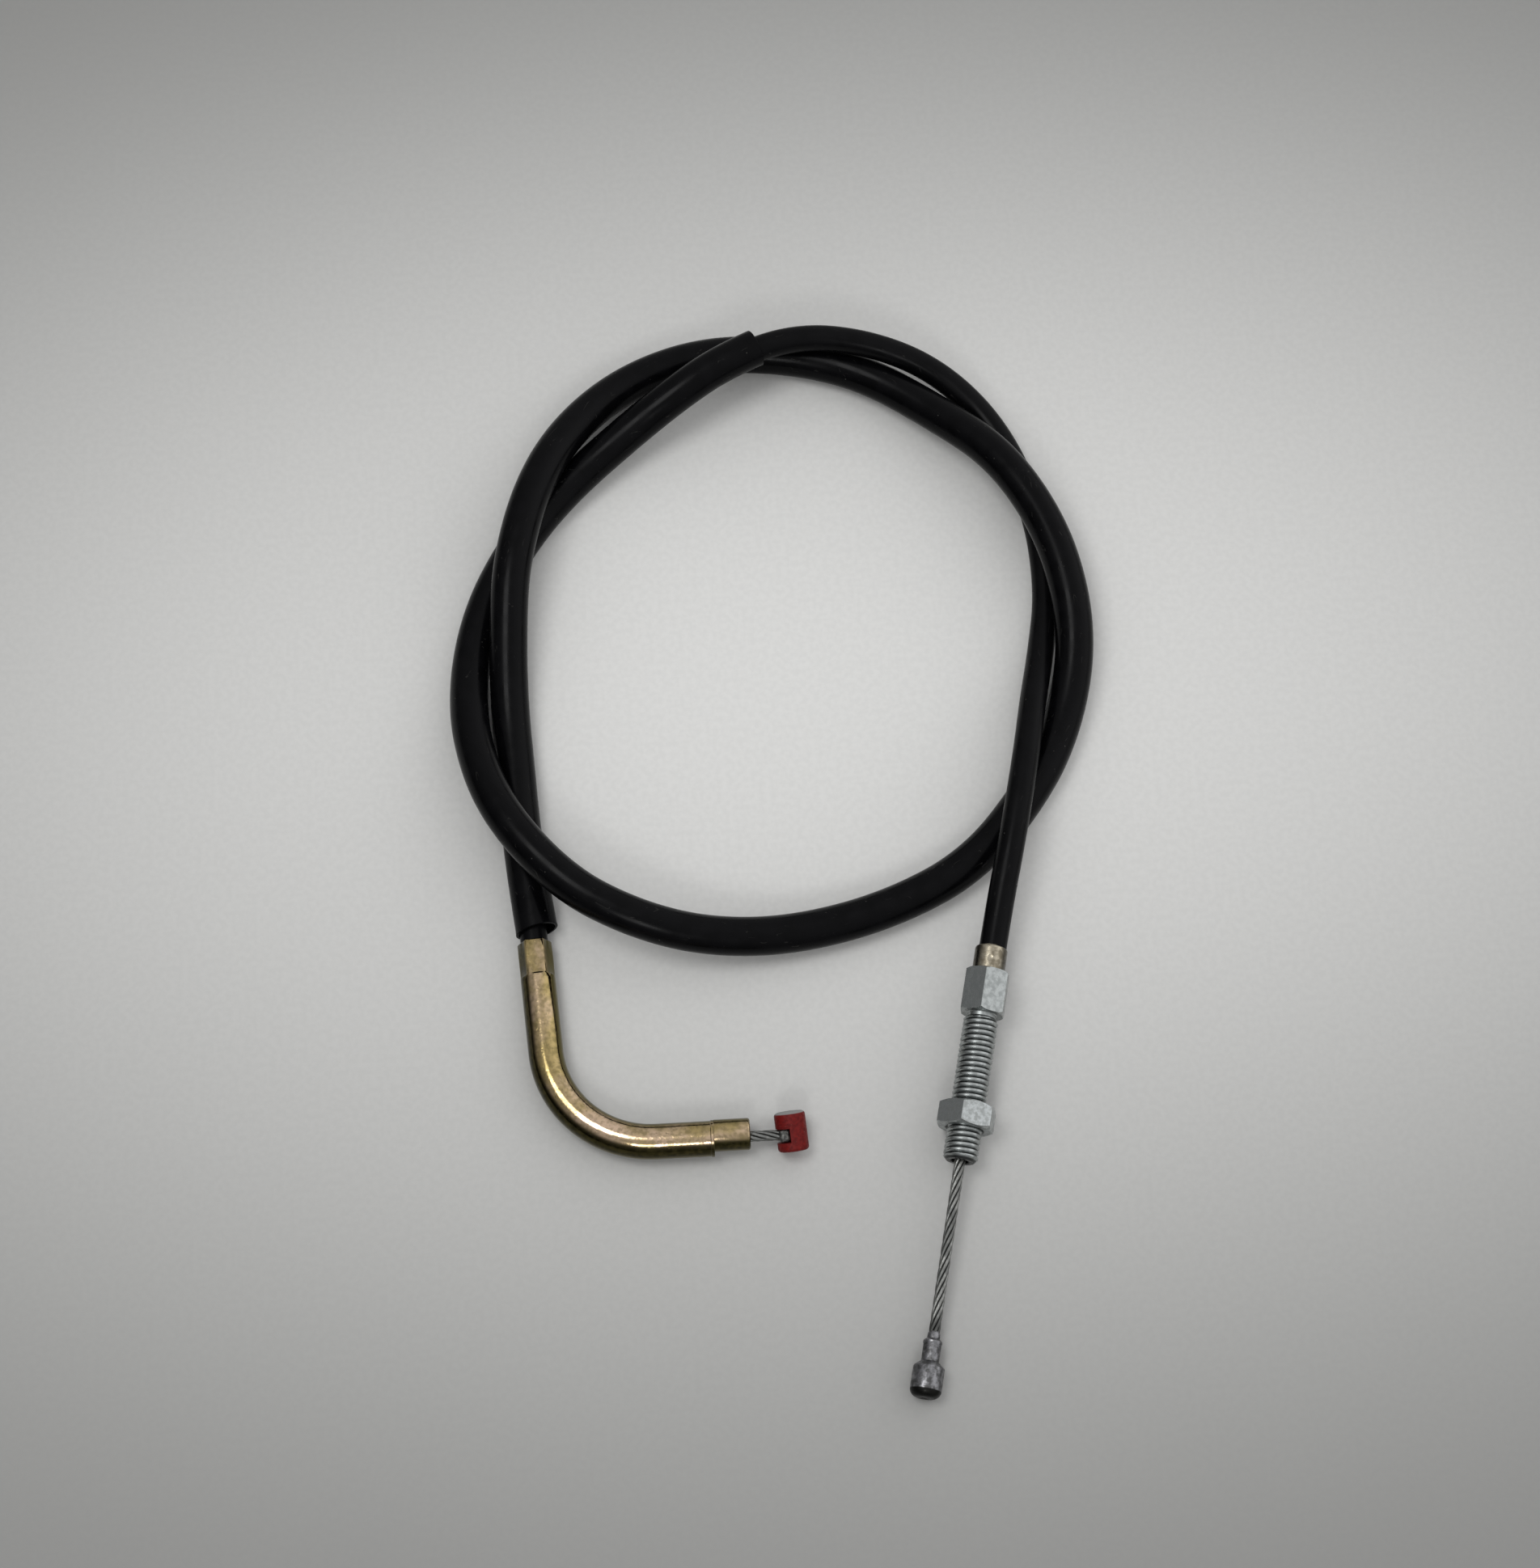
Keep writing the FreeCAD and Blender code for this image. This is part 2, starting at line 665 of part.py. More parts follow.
os.makedirs("parts", exist_ok=True)
for piece in sub_parts:
    piece.Shape.exportStep(f"parts/{piece.Label}.step")
    box = piece.Shape.optimalBoundingBox(False, False)
    print(
        f"{piece.Label}: solids {len(piece.Shape.Solids)}, volume {piece.Shape.Volume:.1f},"
        f" x {box.XMin:.2f} to {box.XMax:.2f}, y {box.YMin:.2f} to {box.YMax:.2f},"
        f" z {box.ZMin:.2f} to {box.ZMax:.2f}"
    )

print(f"outward {outward.x:.5f} {outward.y:.5f} {outward.z:.5f}, lean {math.degrees(lean):.2f}")
for title, place in {
    "pipe mouth": pipe_mouth,
    "nozzle end": nozzle_end,
    "elbow end": elbow_end,
    "sleeve end": sleeve_end,
    "conduit end": conduit_end,
    "barrel centre": barrel_centre,
    "cap top": cap_top,
    "thread end": cap_top + outward * thread_end,
    "nipple neck": cap_top + outward * neck_start,
}.items():
    place = place + from_origin
    print(f"{title}: {place.x:.3f} {place.y:.3f} {place.z:.3f}")
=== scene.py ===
# %% [markdown]
# # A motorcycle control cable, coiled on a pale table
#
# A control cable pulls a lever's movement round corners. A wire rope slides in a coated
# conduit, and the conduit's two ends push against fixed fittings: a bent pipe by the hand
# lever, and a threaded adjuster by the arm. This lesson dresses the measured CAD model of
# such a cable in Blender, piece by piece, and gives each piece the finish of the real one.

# %% Load the measured model and keep its box
import json
import math

import bmesh
import bpy
import numpy as np
from mathutils import Matrix, Vector, noise


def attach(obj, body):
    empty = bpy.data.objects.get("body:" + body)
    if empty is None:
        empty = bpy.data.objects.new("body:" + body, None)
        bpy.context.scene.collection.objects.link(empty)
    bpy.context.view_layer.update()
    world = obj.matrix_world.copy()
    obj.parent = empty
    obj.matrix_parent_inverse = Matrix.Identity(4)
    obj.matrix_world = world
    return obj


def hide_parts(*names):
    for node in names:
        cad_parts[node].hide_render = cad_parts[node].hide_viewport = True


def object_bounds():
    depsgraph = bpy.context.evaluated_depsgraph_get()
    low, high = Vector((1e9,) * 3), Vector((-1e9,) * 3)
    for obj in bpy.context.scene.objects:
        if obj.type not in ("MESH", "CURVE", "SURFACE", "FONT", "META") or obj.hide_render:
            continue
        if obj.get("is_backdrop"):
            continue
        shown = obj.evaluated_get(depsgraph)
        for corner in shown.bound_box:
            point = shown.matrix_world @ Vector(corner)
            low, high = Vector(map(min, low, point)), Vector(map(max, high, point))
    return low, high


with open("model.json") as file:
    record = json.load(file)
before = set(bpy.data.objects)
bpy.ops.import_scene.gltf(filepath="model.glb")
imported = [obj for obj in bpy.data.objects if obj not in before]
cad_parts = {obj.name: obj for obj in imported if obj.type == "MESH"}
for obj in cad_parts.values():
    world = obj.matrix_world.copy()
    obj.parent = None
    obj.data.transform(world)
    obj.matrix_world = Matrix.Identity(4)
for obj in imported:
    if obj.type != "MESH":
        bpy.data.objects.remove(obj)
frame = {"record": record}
cad_box = [list(corner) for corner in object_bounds()]
print("CAD box, metres:", [[round(x, 4) for x in corner] for corner in cad_box])

# %% [markdown]
# ## The view
#
# The camera stands where the photographer stood: nearly above the table, leaning back 23
# degrees, with a long lens. The table fills the whole picture. It is one large sheet with
# a slightly raised grain, and a pool of light is painted into its colour: paler in the middle, darker towards
# the edges.

# %% The camera
MM = 0.001
CAMERA_PLACE = (-14.3, -239.215, 785.0)
CAMERA_LEAN, CAMERA_TURN = 23.0, -3.2


def shown(name, data):
    """A new object with this data, in the scene."""
    made = bpy.data.objects.new(name, data)
    bpy.context.scene.collection.objects.link(made)
    return made


camera_data = bpy.data.cameras.new("camera")
camera_data.lens = 83.55
camera_data.sensor_width = 36.0
camera_data.clip_start = 0.05
camera = shown("camera", camera_data)
camera.location = [x * MM for x in CAMERA_PLACE]
camera.rotation_euler = (math.radians(CAMERA_LEAN), 0.0, math.radians(CAMERA_TURN))
bpy.context.scene.camera = camera
print("camera at", [round(x, 3) for x in camera.location])

# %% Helpers for shader nodes


def feed(node, inputs):
    """Gives each of these inputs a number, a vector, a colour or another node's output."""
    for name, value in inputs.items():
        socket = node.inputs[name]
        if isinstance(value, bpy.types.NodeSocket):
            node.id_data.links.new(value, socket)
        elif socket.type == "RGBA":
            socket.default_value = (*value, 1.0)
        else:
            socket.default_value = value


def put(tree, kind, inputs=None, **settings):
    """A new node of this kind, with these settings and inputs."""
    node = tree.nodes.new(kind)
    for name, value in settings.items():
        setattr(node, name, value)
    feed(node, inputs or {})
    return node


def grey_ramp(value, low, high, low_out=0.0, high_out=1.0):
    """A number that goes from low_out to high_out while value goes from low to high."""
    numbers = {"Value": value, "From Min": low, "From Max": high, "To Min": low_out, "To Max": high_out}
    ramp = put(value.id_data, "ShaderNodeMapRange", numbers, interpolation_type="SMOOTHSTEP")
    return ramp.outputs["Result"]


def blend(share, first, second):
    """A colour between first and second; a share of 1 is all second."""
    return put(share.id_data, "ShaderNodeMix", {0: share, 6: first, 7: second}, data_type="RGBA").outputs[2]


def maths(operation, first, second=0.0):
    """The result of one sum, of which at least one number comes from a node."""
    tree = (first if isinstance(first, bpy.types.NodeSocket) else second).id_data
    return put(tree, "ShaderNodeMath", {0: first, 1: second}, operation=operation).outputs[0]


def plus(first, second):
    """The two numbers added."""
    return maths("ADD", first, second)


def less(first, second):
    """The second number taken from the first."""
    return maths("SUBTRACT", first, second)


def times(first, second):
    """The two numbers multiplied."""
    return maths("MULTIPLY", first, second)


def own_place(tree):
    """Where the surface lies on the piece's own straight axis, in millimetres."""
    return put(tree, "ShaderNodeAttribute", attribute_name="own_place").outputs["Vector"]


def own_part(tree, letter):
    """The own place's X, Y or Z. Z runs along the piece's axis."""
    return put(tree, "ShaderNodeSeparateXYZ", {"Vector": own_place(tree)}).outputs[letter]


def from_axis(tree):
    """How far the surface lies from the piece's own axis, in millimetres."""
    flat = put(tree, "ShaderNodeVectorMath", {0: own_place(tree), 1: (1.0, 1.0, 0.0)}, operation="MULTIPLY")
    return put(tree, "ShaderNodeVectorMath", {0: flat.outputs[0]}, operation="LENGTH").outputs["Value"]


def raised(shader, height, strength, millimetres):
    """Lets the surface seem to rise with height, by up to these millimetres."""
    inputs = {"Height": height, "Strength": strength, "Distance": millimetres * MM}
    feed(shader, {"Normal": put(shader.id_data, "ShaderNodeBump", inputs).outputs["Normal"]})


def new_finish(name, base, roughness, metallic=0.0):
    """An empty material with its Principled shader's plain values."""
    material = bpy.data.materials.new(name)
    material.use_nodes = True
    shader = material.node_tree.nodes["Principled BSDF"]
    feed(shader, {"Base Color": base, "Roughness": roughness, "Metallic": metallic})
    return material, material.node_tree, shader


# %% The table
# Painted light: a pool of light painted into the table's colour, paler in the middle and darker towards the
# edges
PAINTED_POOL_MIDDLE = (0.026, 0.125)
PAINTED_POOL_FALL = (2.27, 3.76)
PAINTED_POOL_EDGE_COLOUR, PAINTED_POOL_MIDDLE_COLOUR, DARK_GRAIN = (0.235, 0.235, 0.227), (0.67, 0.67, 0.654), (0.2, 0.2, 0.2)
table_finish, tree, shader = new_finish("pale_table", (0.6, 0.6, 0.585), 0.85)
place = put(tree, "ShaderNodeTexCoord").outputs["Object"]
fall = put(
    tree,
    "ShaderNodeMapping",
    {
        "Vector": place,
        "Location": (-PAINTED_POOL_MIDDLE[0] * PAINTED_POOL_FALL[0], -PAINTED_POOL_MIDDLE[1] * PAINTED_POOL_FALL[1], 0.0),
        "Scale": (*PAINTED_POOL_FALL, 1.0),
    },
)
painted_pool = put(tree, "ShaderNodeTexGradient", {"Vector": fall.outputs["Vector"]}, gradient_type="SPHERICAL")
# The painted pool of light: the middle colour in the middle, the dark edge colour further out
pale = blend(grey_ramp(painted_pool.outputs["Fac"], 0.0, 1.0), PAINTED_POOL_EDGE_COLOUR, PAINTED_POOL_MIDDLE_COLOUR)
grain = put(tree, "ShaderNodeTexNoise", {"Vector": place, "Scale": 700.0, "Detail": 3.0}).outputs["Fac"]
grained = blend(grey_ramp(grain, 0.3, 0.7, 0.0, 0.07), pale, DARK_GRAIN)
feed(shader, {"Base Color": grained, "Specular IOR Level": 0.15})
raised(shader, grain, 0.08, 0.2)

table_mesh = bpy.data.meshes.new("table")
REACH = 6.0
corners = [(-REACH, -REACH, 0), (REACH, -REACH, 0), (REACH, REACH, 0), (-REACH, REACH, 0)]
table_mesh.from_pydata(corners, [], [(0, 1, 2, 3)])
table_mesh.materials.append(table_finish)
table = shown("table", table_mesh)
table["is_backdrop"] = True
print("table, metres across:", 2 * REACH)

# %% [markdown]
# ## The light
#
# The photograph has hardly any shadow, so most of its light comes from all round. The
# streaks on the pipe and the tubes show two soft lamps: one above, on the left, and a
# weaker one low in front. The hexagons' right faces are bright and their left faces dark,
# so the sky has a pale patch low on the right. The powers are chosen so that a colour on
# the table renders about as it is written.

# %% The lamps and the sky
LAMPS = {
    "lamp_above": (Vector((-0.45, 0.1, 1.45)), 0.7, 5.5),
    "lamp_in_front": (Vector((-0.2, -1.1, 1.15)), 0.4, 10.0),
}
SKY_GLOW, SKY_RISE, SKY_DARKEST = 0.36, (0.35, 0.12, 0.42), 0.03
PALE_PATCH, PATCH_SHARPNESS, PATCH_GLOW = (0.88, 0.3, 0.35), 6.0, 0.55
for name, (lamp_place, lamp_size, lamp_glow) in LAMPS.items():
    lamp_data = bpy.data.lights.new(name, "AREA")
    lamp_data.shape = "DISK"
    lamp_data.size = lamp_size
    lamp_data.energy = lamp_glow * math.pi * math.pi * (lamp_size / 2) ** 2
    lamp = shown(name, lamp_data)
    lamp.location = lamp_place
    lamp.rotation_euler = lamp_place.to_track_quat("Z", "Y").to_euler()
    print(f"{name}: {lamp_data.energy:.1f} watts")
sky = bpy.data.worlds.new("sky")
sky.use_nodes = True
tree = sky.node_tree
way = put(tree, "ShaderNodeTexCoord").outputs["Generated"]


def towards(direction):
    """How far a look into the sky goes this way."""
    share = put(sky.node_tree, "ShaderNodeVectorMath", {0: way, 1: direction}, operation="DOT_PRODUCT")
    return share.outputs["Value"]


glow = maths("MAXIMUM", plus(towards(SKY_RISE), SKY_GLOW), SKY_DARKEST)
patch = maths("POWER", maths("MAXIMUM", towards(PALE_PATCH), 0.0), PATCH_SHARPNESS)
strength = plus(glow, times(patch, PATCH_GLOW))
feed(tree.nodes["Background"], {"Color": (1.0, 1.0, 1.01), "Strength": strength})
bpy.context.scene.world = sky
bpy.context.scene.view_settings.view_transform = "Standard"
print("lamps:", len(LAMPS))

# %% [markdown]
# ## Making meshes row by row
#
# Nearly every piece here is round: turned on a lathe, drawn as wire or extruded as tube.
# Such a piece is rows of points round a line, with faces between the rows. A closed
# profile, out along the surface and back through the bore, makes a solid with a real
# hole. Each point also keeps where it lies on the piece's own straight axis, in
# millimetres, because brushing, turning marks and scratches follow that axis even where
# the cable bends.

# %% Helpers for rows of points


def evenly(count):
    """Angles once round, evenly spaced."""
    return np.arange(count) * 2 * math.pi / count


def turned(place, profile, angles):
    """Rows about the place's own Z from (distance, radius) pairs, or triples with a shift."""
    turn = np.array(place.to_3x3())
    start = np.array(place.translation)
    owns = []
    for distance, radius, *shift in profile:
        x = radius * np.cos(angles)
        y = radius * np.sin(angles) + (shift[0] if shift else 0.0)
        z = np.broadcast_to(np.asarray(distance, float), angles.shape)
        owns.append(np.stack([x, y, z], axis=1))
    owns = np.array(owns)
    return owns @ turn.T + start, owns


def frames_along(line, across=(0.0, 0.0, 1.0)):
    """Each point of the line with two directions square to it, which don't twist round it."""
    ahead = np.gradient(line, axis=0)
    ahead /= np.linalg.norm(ahead, axis=1)[:, None]
    side = np.array(across)
    for centre, on in zip(line, ahead):
        side = side - on * (side @ on)
        side = side / np.linalg.norm(side)
        yield centre, side, np.cross(on, side)


def rows_round(frames, distances, radii, angles):
    """Rows round these points of a line, each with its two directions square to the line."""
    places, owns = [], []
    for (centre, side, beside), distance, radius in zip(frames, distances, radii):
        x = radius * np.cos(angles)
        y = radius * np.sin(angles)
        places.append(centre + np.outer(x, side) + np.outer(y, beside))
        owns.append(np.stack([x, y, np.full(angles.shape, distance)], axis=1))
    return np.array(places), np.array(owns)


def piece(name, shells, body, finish, nodes=(), sharp=38):
    """One object from closed or capped shells of rows, in place of these CAD nodes."""
    places, owns, faces = [], [], []
    for (rows, own_rows), closed in shells:
        start = sum(len(part) for part in places)
        count, around = rows.shape[:2]
        for i in range(count if closed else count - 1):
            for j in range(around):
                corners = ((i, j), (i, j + 1), (i + 1, j + 1), (i + 1, j))
                faces.append([start + (row % count) * around + column % around for row, column in corners])
        if not closed:
            faces.append([start + j for j in reversed(range(around))])
            faces.append([start + (count - 1) * around + j for j in range(around)])
        places.append(rows.reshape(-1, 3) * MM)
        owns.append(own_rows.reshape(-1, 3))
    mesh = bpy.data.meshes.new(name)
    mesh.from_pydata(np.concatenate(places).tolist(), [], faces)
    kept = mesh.attributes.new("own_place", "FLOAT_VECTOR", "POINT")
    kept.data.foreach_set("vector", np.concatenate(owns).ravel())
    form = bmesh.new()
    form.from_mesh(mesh)
    bmesh.ops.remove_doubles(form, verts=form.verts, dist=2e-6)
    bmesh.ops.dissolve_degenerate(form, edges=form.edges, dist=1e-6)
    form.to_mesh(mesh)
    form.free()
    mesh.shade_smooth()
    mesh.set_sharp_from_angle(angle=math.radians(sharp))
    mesh.materials.append(finish)
    made = shown(name, mesh)
    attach(made, body)
    if nodes:
        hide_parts(*nodes)
    print(f"{name}: {len(mesh.polygons)} faces")
    return made


# %% [markdown]
# ## Effects that several finishes share
#
# Cloudy patches, fine scratches and small specks are on nearly every piece, at different
# sizes. Each is a node group that reads the piece's own place and puts out one number
# over the surface, and each finish uses it with its own values.

# %% Node groups for patches, scratches and specks


def new_effect(name, per_mm, values, output):
    """A group of nodes, its inputs, its output and the own place, stretched and moved."""
    group = bpy.data.node_groups.new(name, "ShaderNodeTree")
    inputs = {"Per mm": per_mm, "Stretch": (1.0, 1.0, 1.0), "Shift": (0.0, 0.0, 0.0), **values}
    for label, value in inputs.items():
        kind = "NodeSocketVector" if isinstance(value, tuple) else "NodeSocketFloat"
        group.interface.new_socket(label, in_out="INPUT", socket_type=kind).default_value = value
    group.interface.new_socket(output, in_out="OUTPUT", socket_type="NodeSocketFloat")
    given = group.nodes.new("NodeGroupInput").outputs
    result = group.nodes.new("NodeGroupOutput")
    own = own_place(group)
    scaled = put(group, "ShaderNodeVectorMath", {0: own, 1: given["Stretch"]}, operation="MULTIPLY")
    moved = put(group, "ShaderNodeVectorMath", {0: scaled.outputs[0], 1: given["Shift"]}, operation="ADD")
    return group, given, result, moved.outputs[0]


def noise_over(tree, place, scale, detail, distortion=0.0):
    """Blender's noise at this place, as a number round a half."""
    inputs = {"Vector": place, "Scale": scale, "Detail": detail, "Distortion": distortion}
    return put(tree, "ShaderNodeTexNoise", inputs).outputs["Fac"]


values = {"Detail": 3.0, "From": 0.35, "To": 0.65}
patches, given, result, moved = new_effect("cloudy_patches", 1.0, values, "Patch")
field = noise_over(patches, moved, given["Per mm"], given["Detail"])
feed(result, {0: grey_ramp(field, given["From"], given["To"])})

values = {"Width": 0.01, "Cover": 0.5}
scratches, given, result, moved = new_effect("fine_scratches", 0.5, values, "Scratch")
lines = noise_over(scratches, moved, given["Per mm"], 1.0, 0.6)
away = maths("ABSOLUTE", less(lines, 0.5))
near = less(1.0, grey_ramp(away, 0.0, given["Width"]))
where = noise_over(scratches, moved, times(given["Per mm"], 2.3), 2.0)
limit = less(1.0, given["Cover"])
some = grey_ramp(where, limit, plus(limit, 0.08))
feed(result, {0: times(near, some)})

values = {"Size": 0.1, "Share": 0.1}
specks, given, result, moved = new_effect("small_specks", 0.4, values, "Speck")
cells = put(specks, "ShaderNodeTexVoronoi", {"Vector": moved, "Scale": given["Per mm"]}).outputs
edge = grey_ramp(cells["Distance"], times(given["Size"], 0.6), given["Size"])
lot = put(specks, "ShaderNodeSeparateColor", {"Color": cells["Color"]}).outputs["Red"]
chosen = maths("LESS_THAN", lot, given["Share"])
feed(result, {0: times(less(1.0, edge), chosen)})


def effect(tree, group, **values):
    """This effect's number over the surface, with these values on the group's inputs."""
    node = tree.nodes.new("ShaderNodeGroup")
    node.node_tree = group
    feed(node, {name.replace("_", " "): value for name, value in values.items()})
    return node.outputs[0]


print("effects:", [group.name for group in bpy.data.node_groups])

# %% [markdown]
# ## The two black tubes
#
# The black part is two tubes: the conduit, 6.3 mm thick with a dull coating, and over
# its first three quarters a loose 9 mm sleeve with a satin surface. Both are extruded, so
# their fine marks run lengthwise. The sleeve has picked up scuffs and dust on the bench.
# A soft streak along each tube says satin, which is a middling roughness that varies.

# %% Black finishes


def black_tube_finish(name, base, dusty, roughness, shift):
    """Extruded black plastic: lengthwise drag marks, scuffs and a little dust."""
    material, tree, shader = new_finish(name, base, roughness)
    drag = effect(tree, patches, Per_mm=2.2, Stretch=(1, 1, 0.03), Shift=shift, Detail=2.0, From=0.3, To=0.7)
    cloud = effect(tree, patches, Per_mm=0.25, Shift=shift, Detail=4.0, From=0.3, To=0.7)
    scuff = effect(tree, scratches, Per_mm=0.35, Stretch=(1, 1, 0.35), Shift=shift, Width=0.012, Cover=0.42)
    dust = effect(tree, specks, Per_mm=0.55, Shift=shift, Size=0.1, Share=0.12)
    marks = plus(times(scuff, 0.35), times(dust, 0.8))
    colour = blend(cloud, base, tuple(1.5 * x for x in base))
    rough = grey_ramp(cloud, 0.0, 1.0, roughness - 0.04, roughness + 0.05)
    rough = plus(rough, times(scuff, 0.12))
    colour = blend(marks, colour, dusty)
    feed(shader, {"Base Color": colour, "Roughness": rough, "Specular IOR Level": 0.07})
    raised(shader, less(times(drag, 0.5), times(scuff, 0.4)), 0.25, 0.03)
    return material


sleeve_finish = black_tube_finish(
    "satin_black_sleeve", (0.0014, 0.0014, 0.0017), (0.05, 0.048, 0.044), 0.25, (0.0, 0.0, 0.0)
)
conduit_finish = black_tube_finish(
    "charcoal_conduit", (0.0017, 0.0017, 0.002), (0.045, 0.043, 0.04), 0.3, (40.0, 0.0, 7.0)
)
print("black finishes:", sleeve_finish.name, conduit_finish.name)

# %% [markdown]
# The cable has to look like one long springy thing, so both tubes follow a smooth NURBS
# line with the measured route's points as its control points. Blender hands back points
# along that line when the curve is turned into a mesh with no bevel, and the rows of each
# tube go round those points. The points are in millimetres, seen from the elbow's corner.

# %% The route's points
ELBOW_CORNER = np.array((-48.49, 6.235, 0.0))
# Through the nozzle's tail and round the elbow's bend
PIPE_POINTS = [
    (28.92, 0.0, 4.5), (16.28, 0.0, 4.5), (5.51, 5.9, 4.5), (-1.11, 16.24, 4.5),
]
SLEEVE_START = (-2.63, 51.75, 4.5)
# The loose sleeve leans to the conduit's left here
SLEEVE_NEAR = (-5.2, 70.89, 4.5)
SLEEVED_POINTS = [
    (-4.83, 70.89, 4.5), (-6.2, 90.75, 4.5), (-7.3, 108.05, 5.6), (-6.9, 125.05, 10.2),
    (-5.4, 142.05, 14.2), (0.7, 163.05, 14.2), (10.6, 180.55, 9.8), (25.4, 194.15, 5.6),
    (43.9, 200.55, 4.5), (63.7, 199.05, 4.5), (82.0, 193.05, 4.6), (98.8, 179.25, 7.3),
    (112.1, 165.15, 12.0), (122.0, 146.75, 12.3), (126.35, 128.55, 10.9), (126.5, 112.55, 7.2),
    (121.85, 95.65, 4.6), (114.0, 80.7, 4.5), (98.7, 62.5, 4.5), (78.5, 52.4, 4.6), (56.3, 47.1, 5.4),
    (36.8, 46.65, 8.2), (20.3, 50.45, 12.0), (4.1, 59.45, 14.2), (-10.35, 77.9, 14.0),
    (-16.35, 97.85, 9.5), (-16.9, 116.05, 5.2), (-13.1, 133.65, 4.5), (-4.9, 149.85, 4.5),
    (6.85, 164.9, 4.5), (23.6, 178.15, 8.0), (35.3, 185.15, 12.8), (46.6, 192.25, 14.4),
]
SLEEVE_END = (55.4, 196.15, 14.2)
BARE_POINTS = [
    (64.8, 199.15, 14.0), (83.2, 197.75, 11.4), (99.9, 190.45, 8.2), (113.3, 175.95, 3.9),
    (120.6, 153.45, 3.3), (121.6, 132.05, 3.3), (118.4, 115.05, 5.1), (115.1, 101.05, 9.4),
    (112.3, 87.05, 13.2), (107.65, 67.05, 13.2), (102.36, 47.07, 9.61), (98.42, 29.33, 8.59),
]
print("points on the route:", len(PIPE_POINTS + SLEEVED_POINTS + BARE_POINTS))

# %% A smooth line through the route


def smooth_line(name, points):
    """Points in millimetres along the NURBS line that these points control."""
    data = bpy.data.curves.new(name, "CURVE")
    data.dimensions = "3D"
    data.resolution_u = 24
    spline = data.splines.new("NURBS")
    spline.points.add(len(points) - 1)
    for control, place in zip(spline.points, points):
        control.co = (*((ELBOW_CORNER + place) * MM), 1.0)
    spline.order_u = 3
    spline.use_endpoint_u = True
    guide = shown(name, data)
    mesh = bpy.data.meshes.new_from_object(guide)
    line = np.array([vertex.co for vertex in mesh.vertices], float) / MM
    bpy.data.objects.remove(guide)
    bpy.data.meshes.remove(mesh)
    return line


def distances_along(line):
    """How far each point lies along the line."""
    steps = np.linalg.norm(np.diff(line, axis=0), axis=1)
    return np.concatenate([[0.0], np.cumsum(steps)])


def nearest(line, place):
    """The number of the line's point nearest to this place, seen from the elbow's corner."""
    return int(np.argmin(np.linalg.norm(line - (ELBOW_CORNER + place), axis=1)))


rope_line = smooth_line("rope_line", PIPE_POINTS + SLEEVED_POINTS + BARE_POINTS)
sleeve_line = smooth_line("sleeve_line", [SLEEVE_START, SLEEVE_NEAR] + SLEEVED_POINTS[1:] + [SLEEVE_END])
rope_far = distances_along(rope_line)
print(f"rope line {rope_far[-1]:.1f} mm, sleeve line {distances_along(sleeve_line)[-1]:.1f} mm")

# %% A tube along a line


def tube(line, radius, bore, columns, ease, clear=0.25):
    """A closed shell for a tube whose rims are eased; no row lies within clear of a rim."""
    far = distances_along(line)
    keep = (far > clear) & (far < far[-1] - clear)
    stations = np.concatenate([[0.0, ease], far[keep], [far[-1] - ease, far[-1]]])
    path = np.stack([np.interp(stations, far, line[:, k]) for k in range(3)], axis=1)
    outer = np.full(len(stations), radius)
    outer[[0, -1]] -= ease
    inner = np.full(len(stations), bore)
    out_rows, in_rows = (rows_round(frames_along(path), stations, r, evenly(columns)) for r in (outer, inner))
    rows = np.concatenate([out_rows[0], in_rows[0][::-1]])
    owns = np.concatenate([out_rows[1], in_rows[1][::-1]])
    return (rows, owns), True


# %% The sleeve and the conduit
SLEEVE_RADIUS, SLEEVE_BORE = 4.5, 3.95
JACKET_RADIUS, JACKET_BORE = 3.15, 2.55
# The sleeve's lower end is cut at a slant and pressed a little wider sideways
MOUTH_SLANT, MOUTH_WIDENING, WIDE_ROWS = 0.13, 0.08, 30
sleeve_shell = tube(sleeve_line, SLEEVE_RADIUS, SLEEVE_BORE, 48, 0.12, 1.5)
sleeve_rows = sleeve_shell[0][0]
for k in (0, 1, -1, -2):
    sleeve_rows[k, :, 1] += MOUTH_SLANT * (sleeve_rows[k, :, 0] - sleeve_line[0, 0])
for k in range(WIDE_ROWS):
    for row in (sleeve_rows[k], sleeve_rows[-1 - k]):
        row[:, 0] += MOUTH_WIDENING * (1 - k / WIDE_ROWS) * (row[:, 0] - row[:, 0].mean())
sleeve = piece("loose_sleeve", [sleeve_shell], "cable", sleeve_finish, ["outer_sleeve"])
PIPE_END = (-3.324, 48.754, 4.5)
conduit_line = rope_line[nearest(rope_line, PIPE_END):].copy()
conduit_line[0] = ELBOW_CORNER + PIPE_END
conduit_shell = tube(conduit_line, JACKET_RADIUS, JACKET_BORE, 40, 0.08)
conduit = piece(
    "coated_conduit", [conduit_shell], "cable", conduit_finish, ["conduit_jacket"]
)

# %% [markdown]
# ## Inside the conduit
#
# Under the coating a flat steel wire is wound into a close spiral, which takes the push.
# In it lies a plastic liner, and in that slides the wire rope. They are hidden here, but
# each is its own piece on the same line, so that the cable can be cut open or exploded.

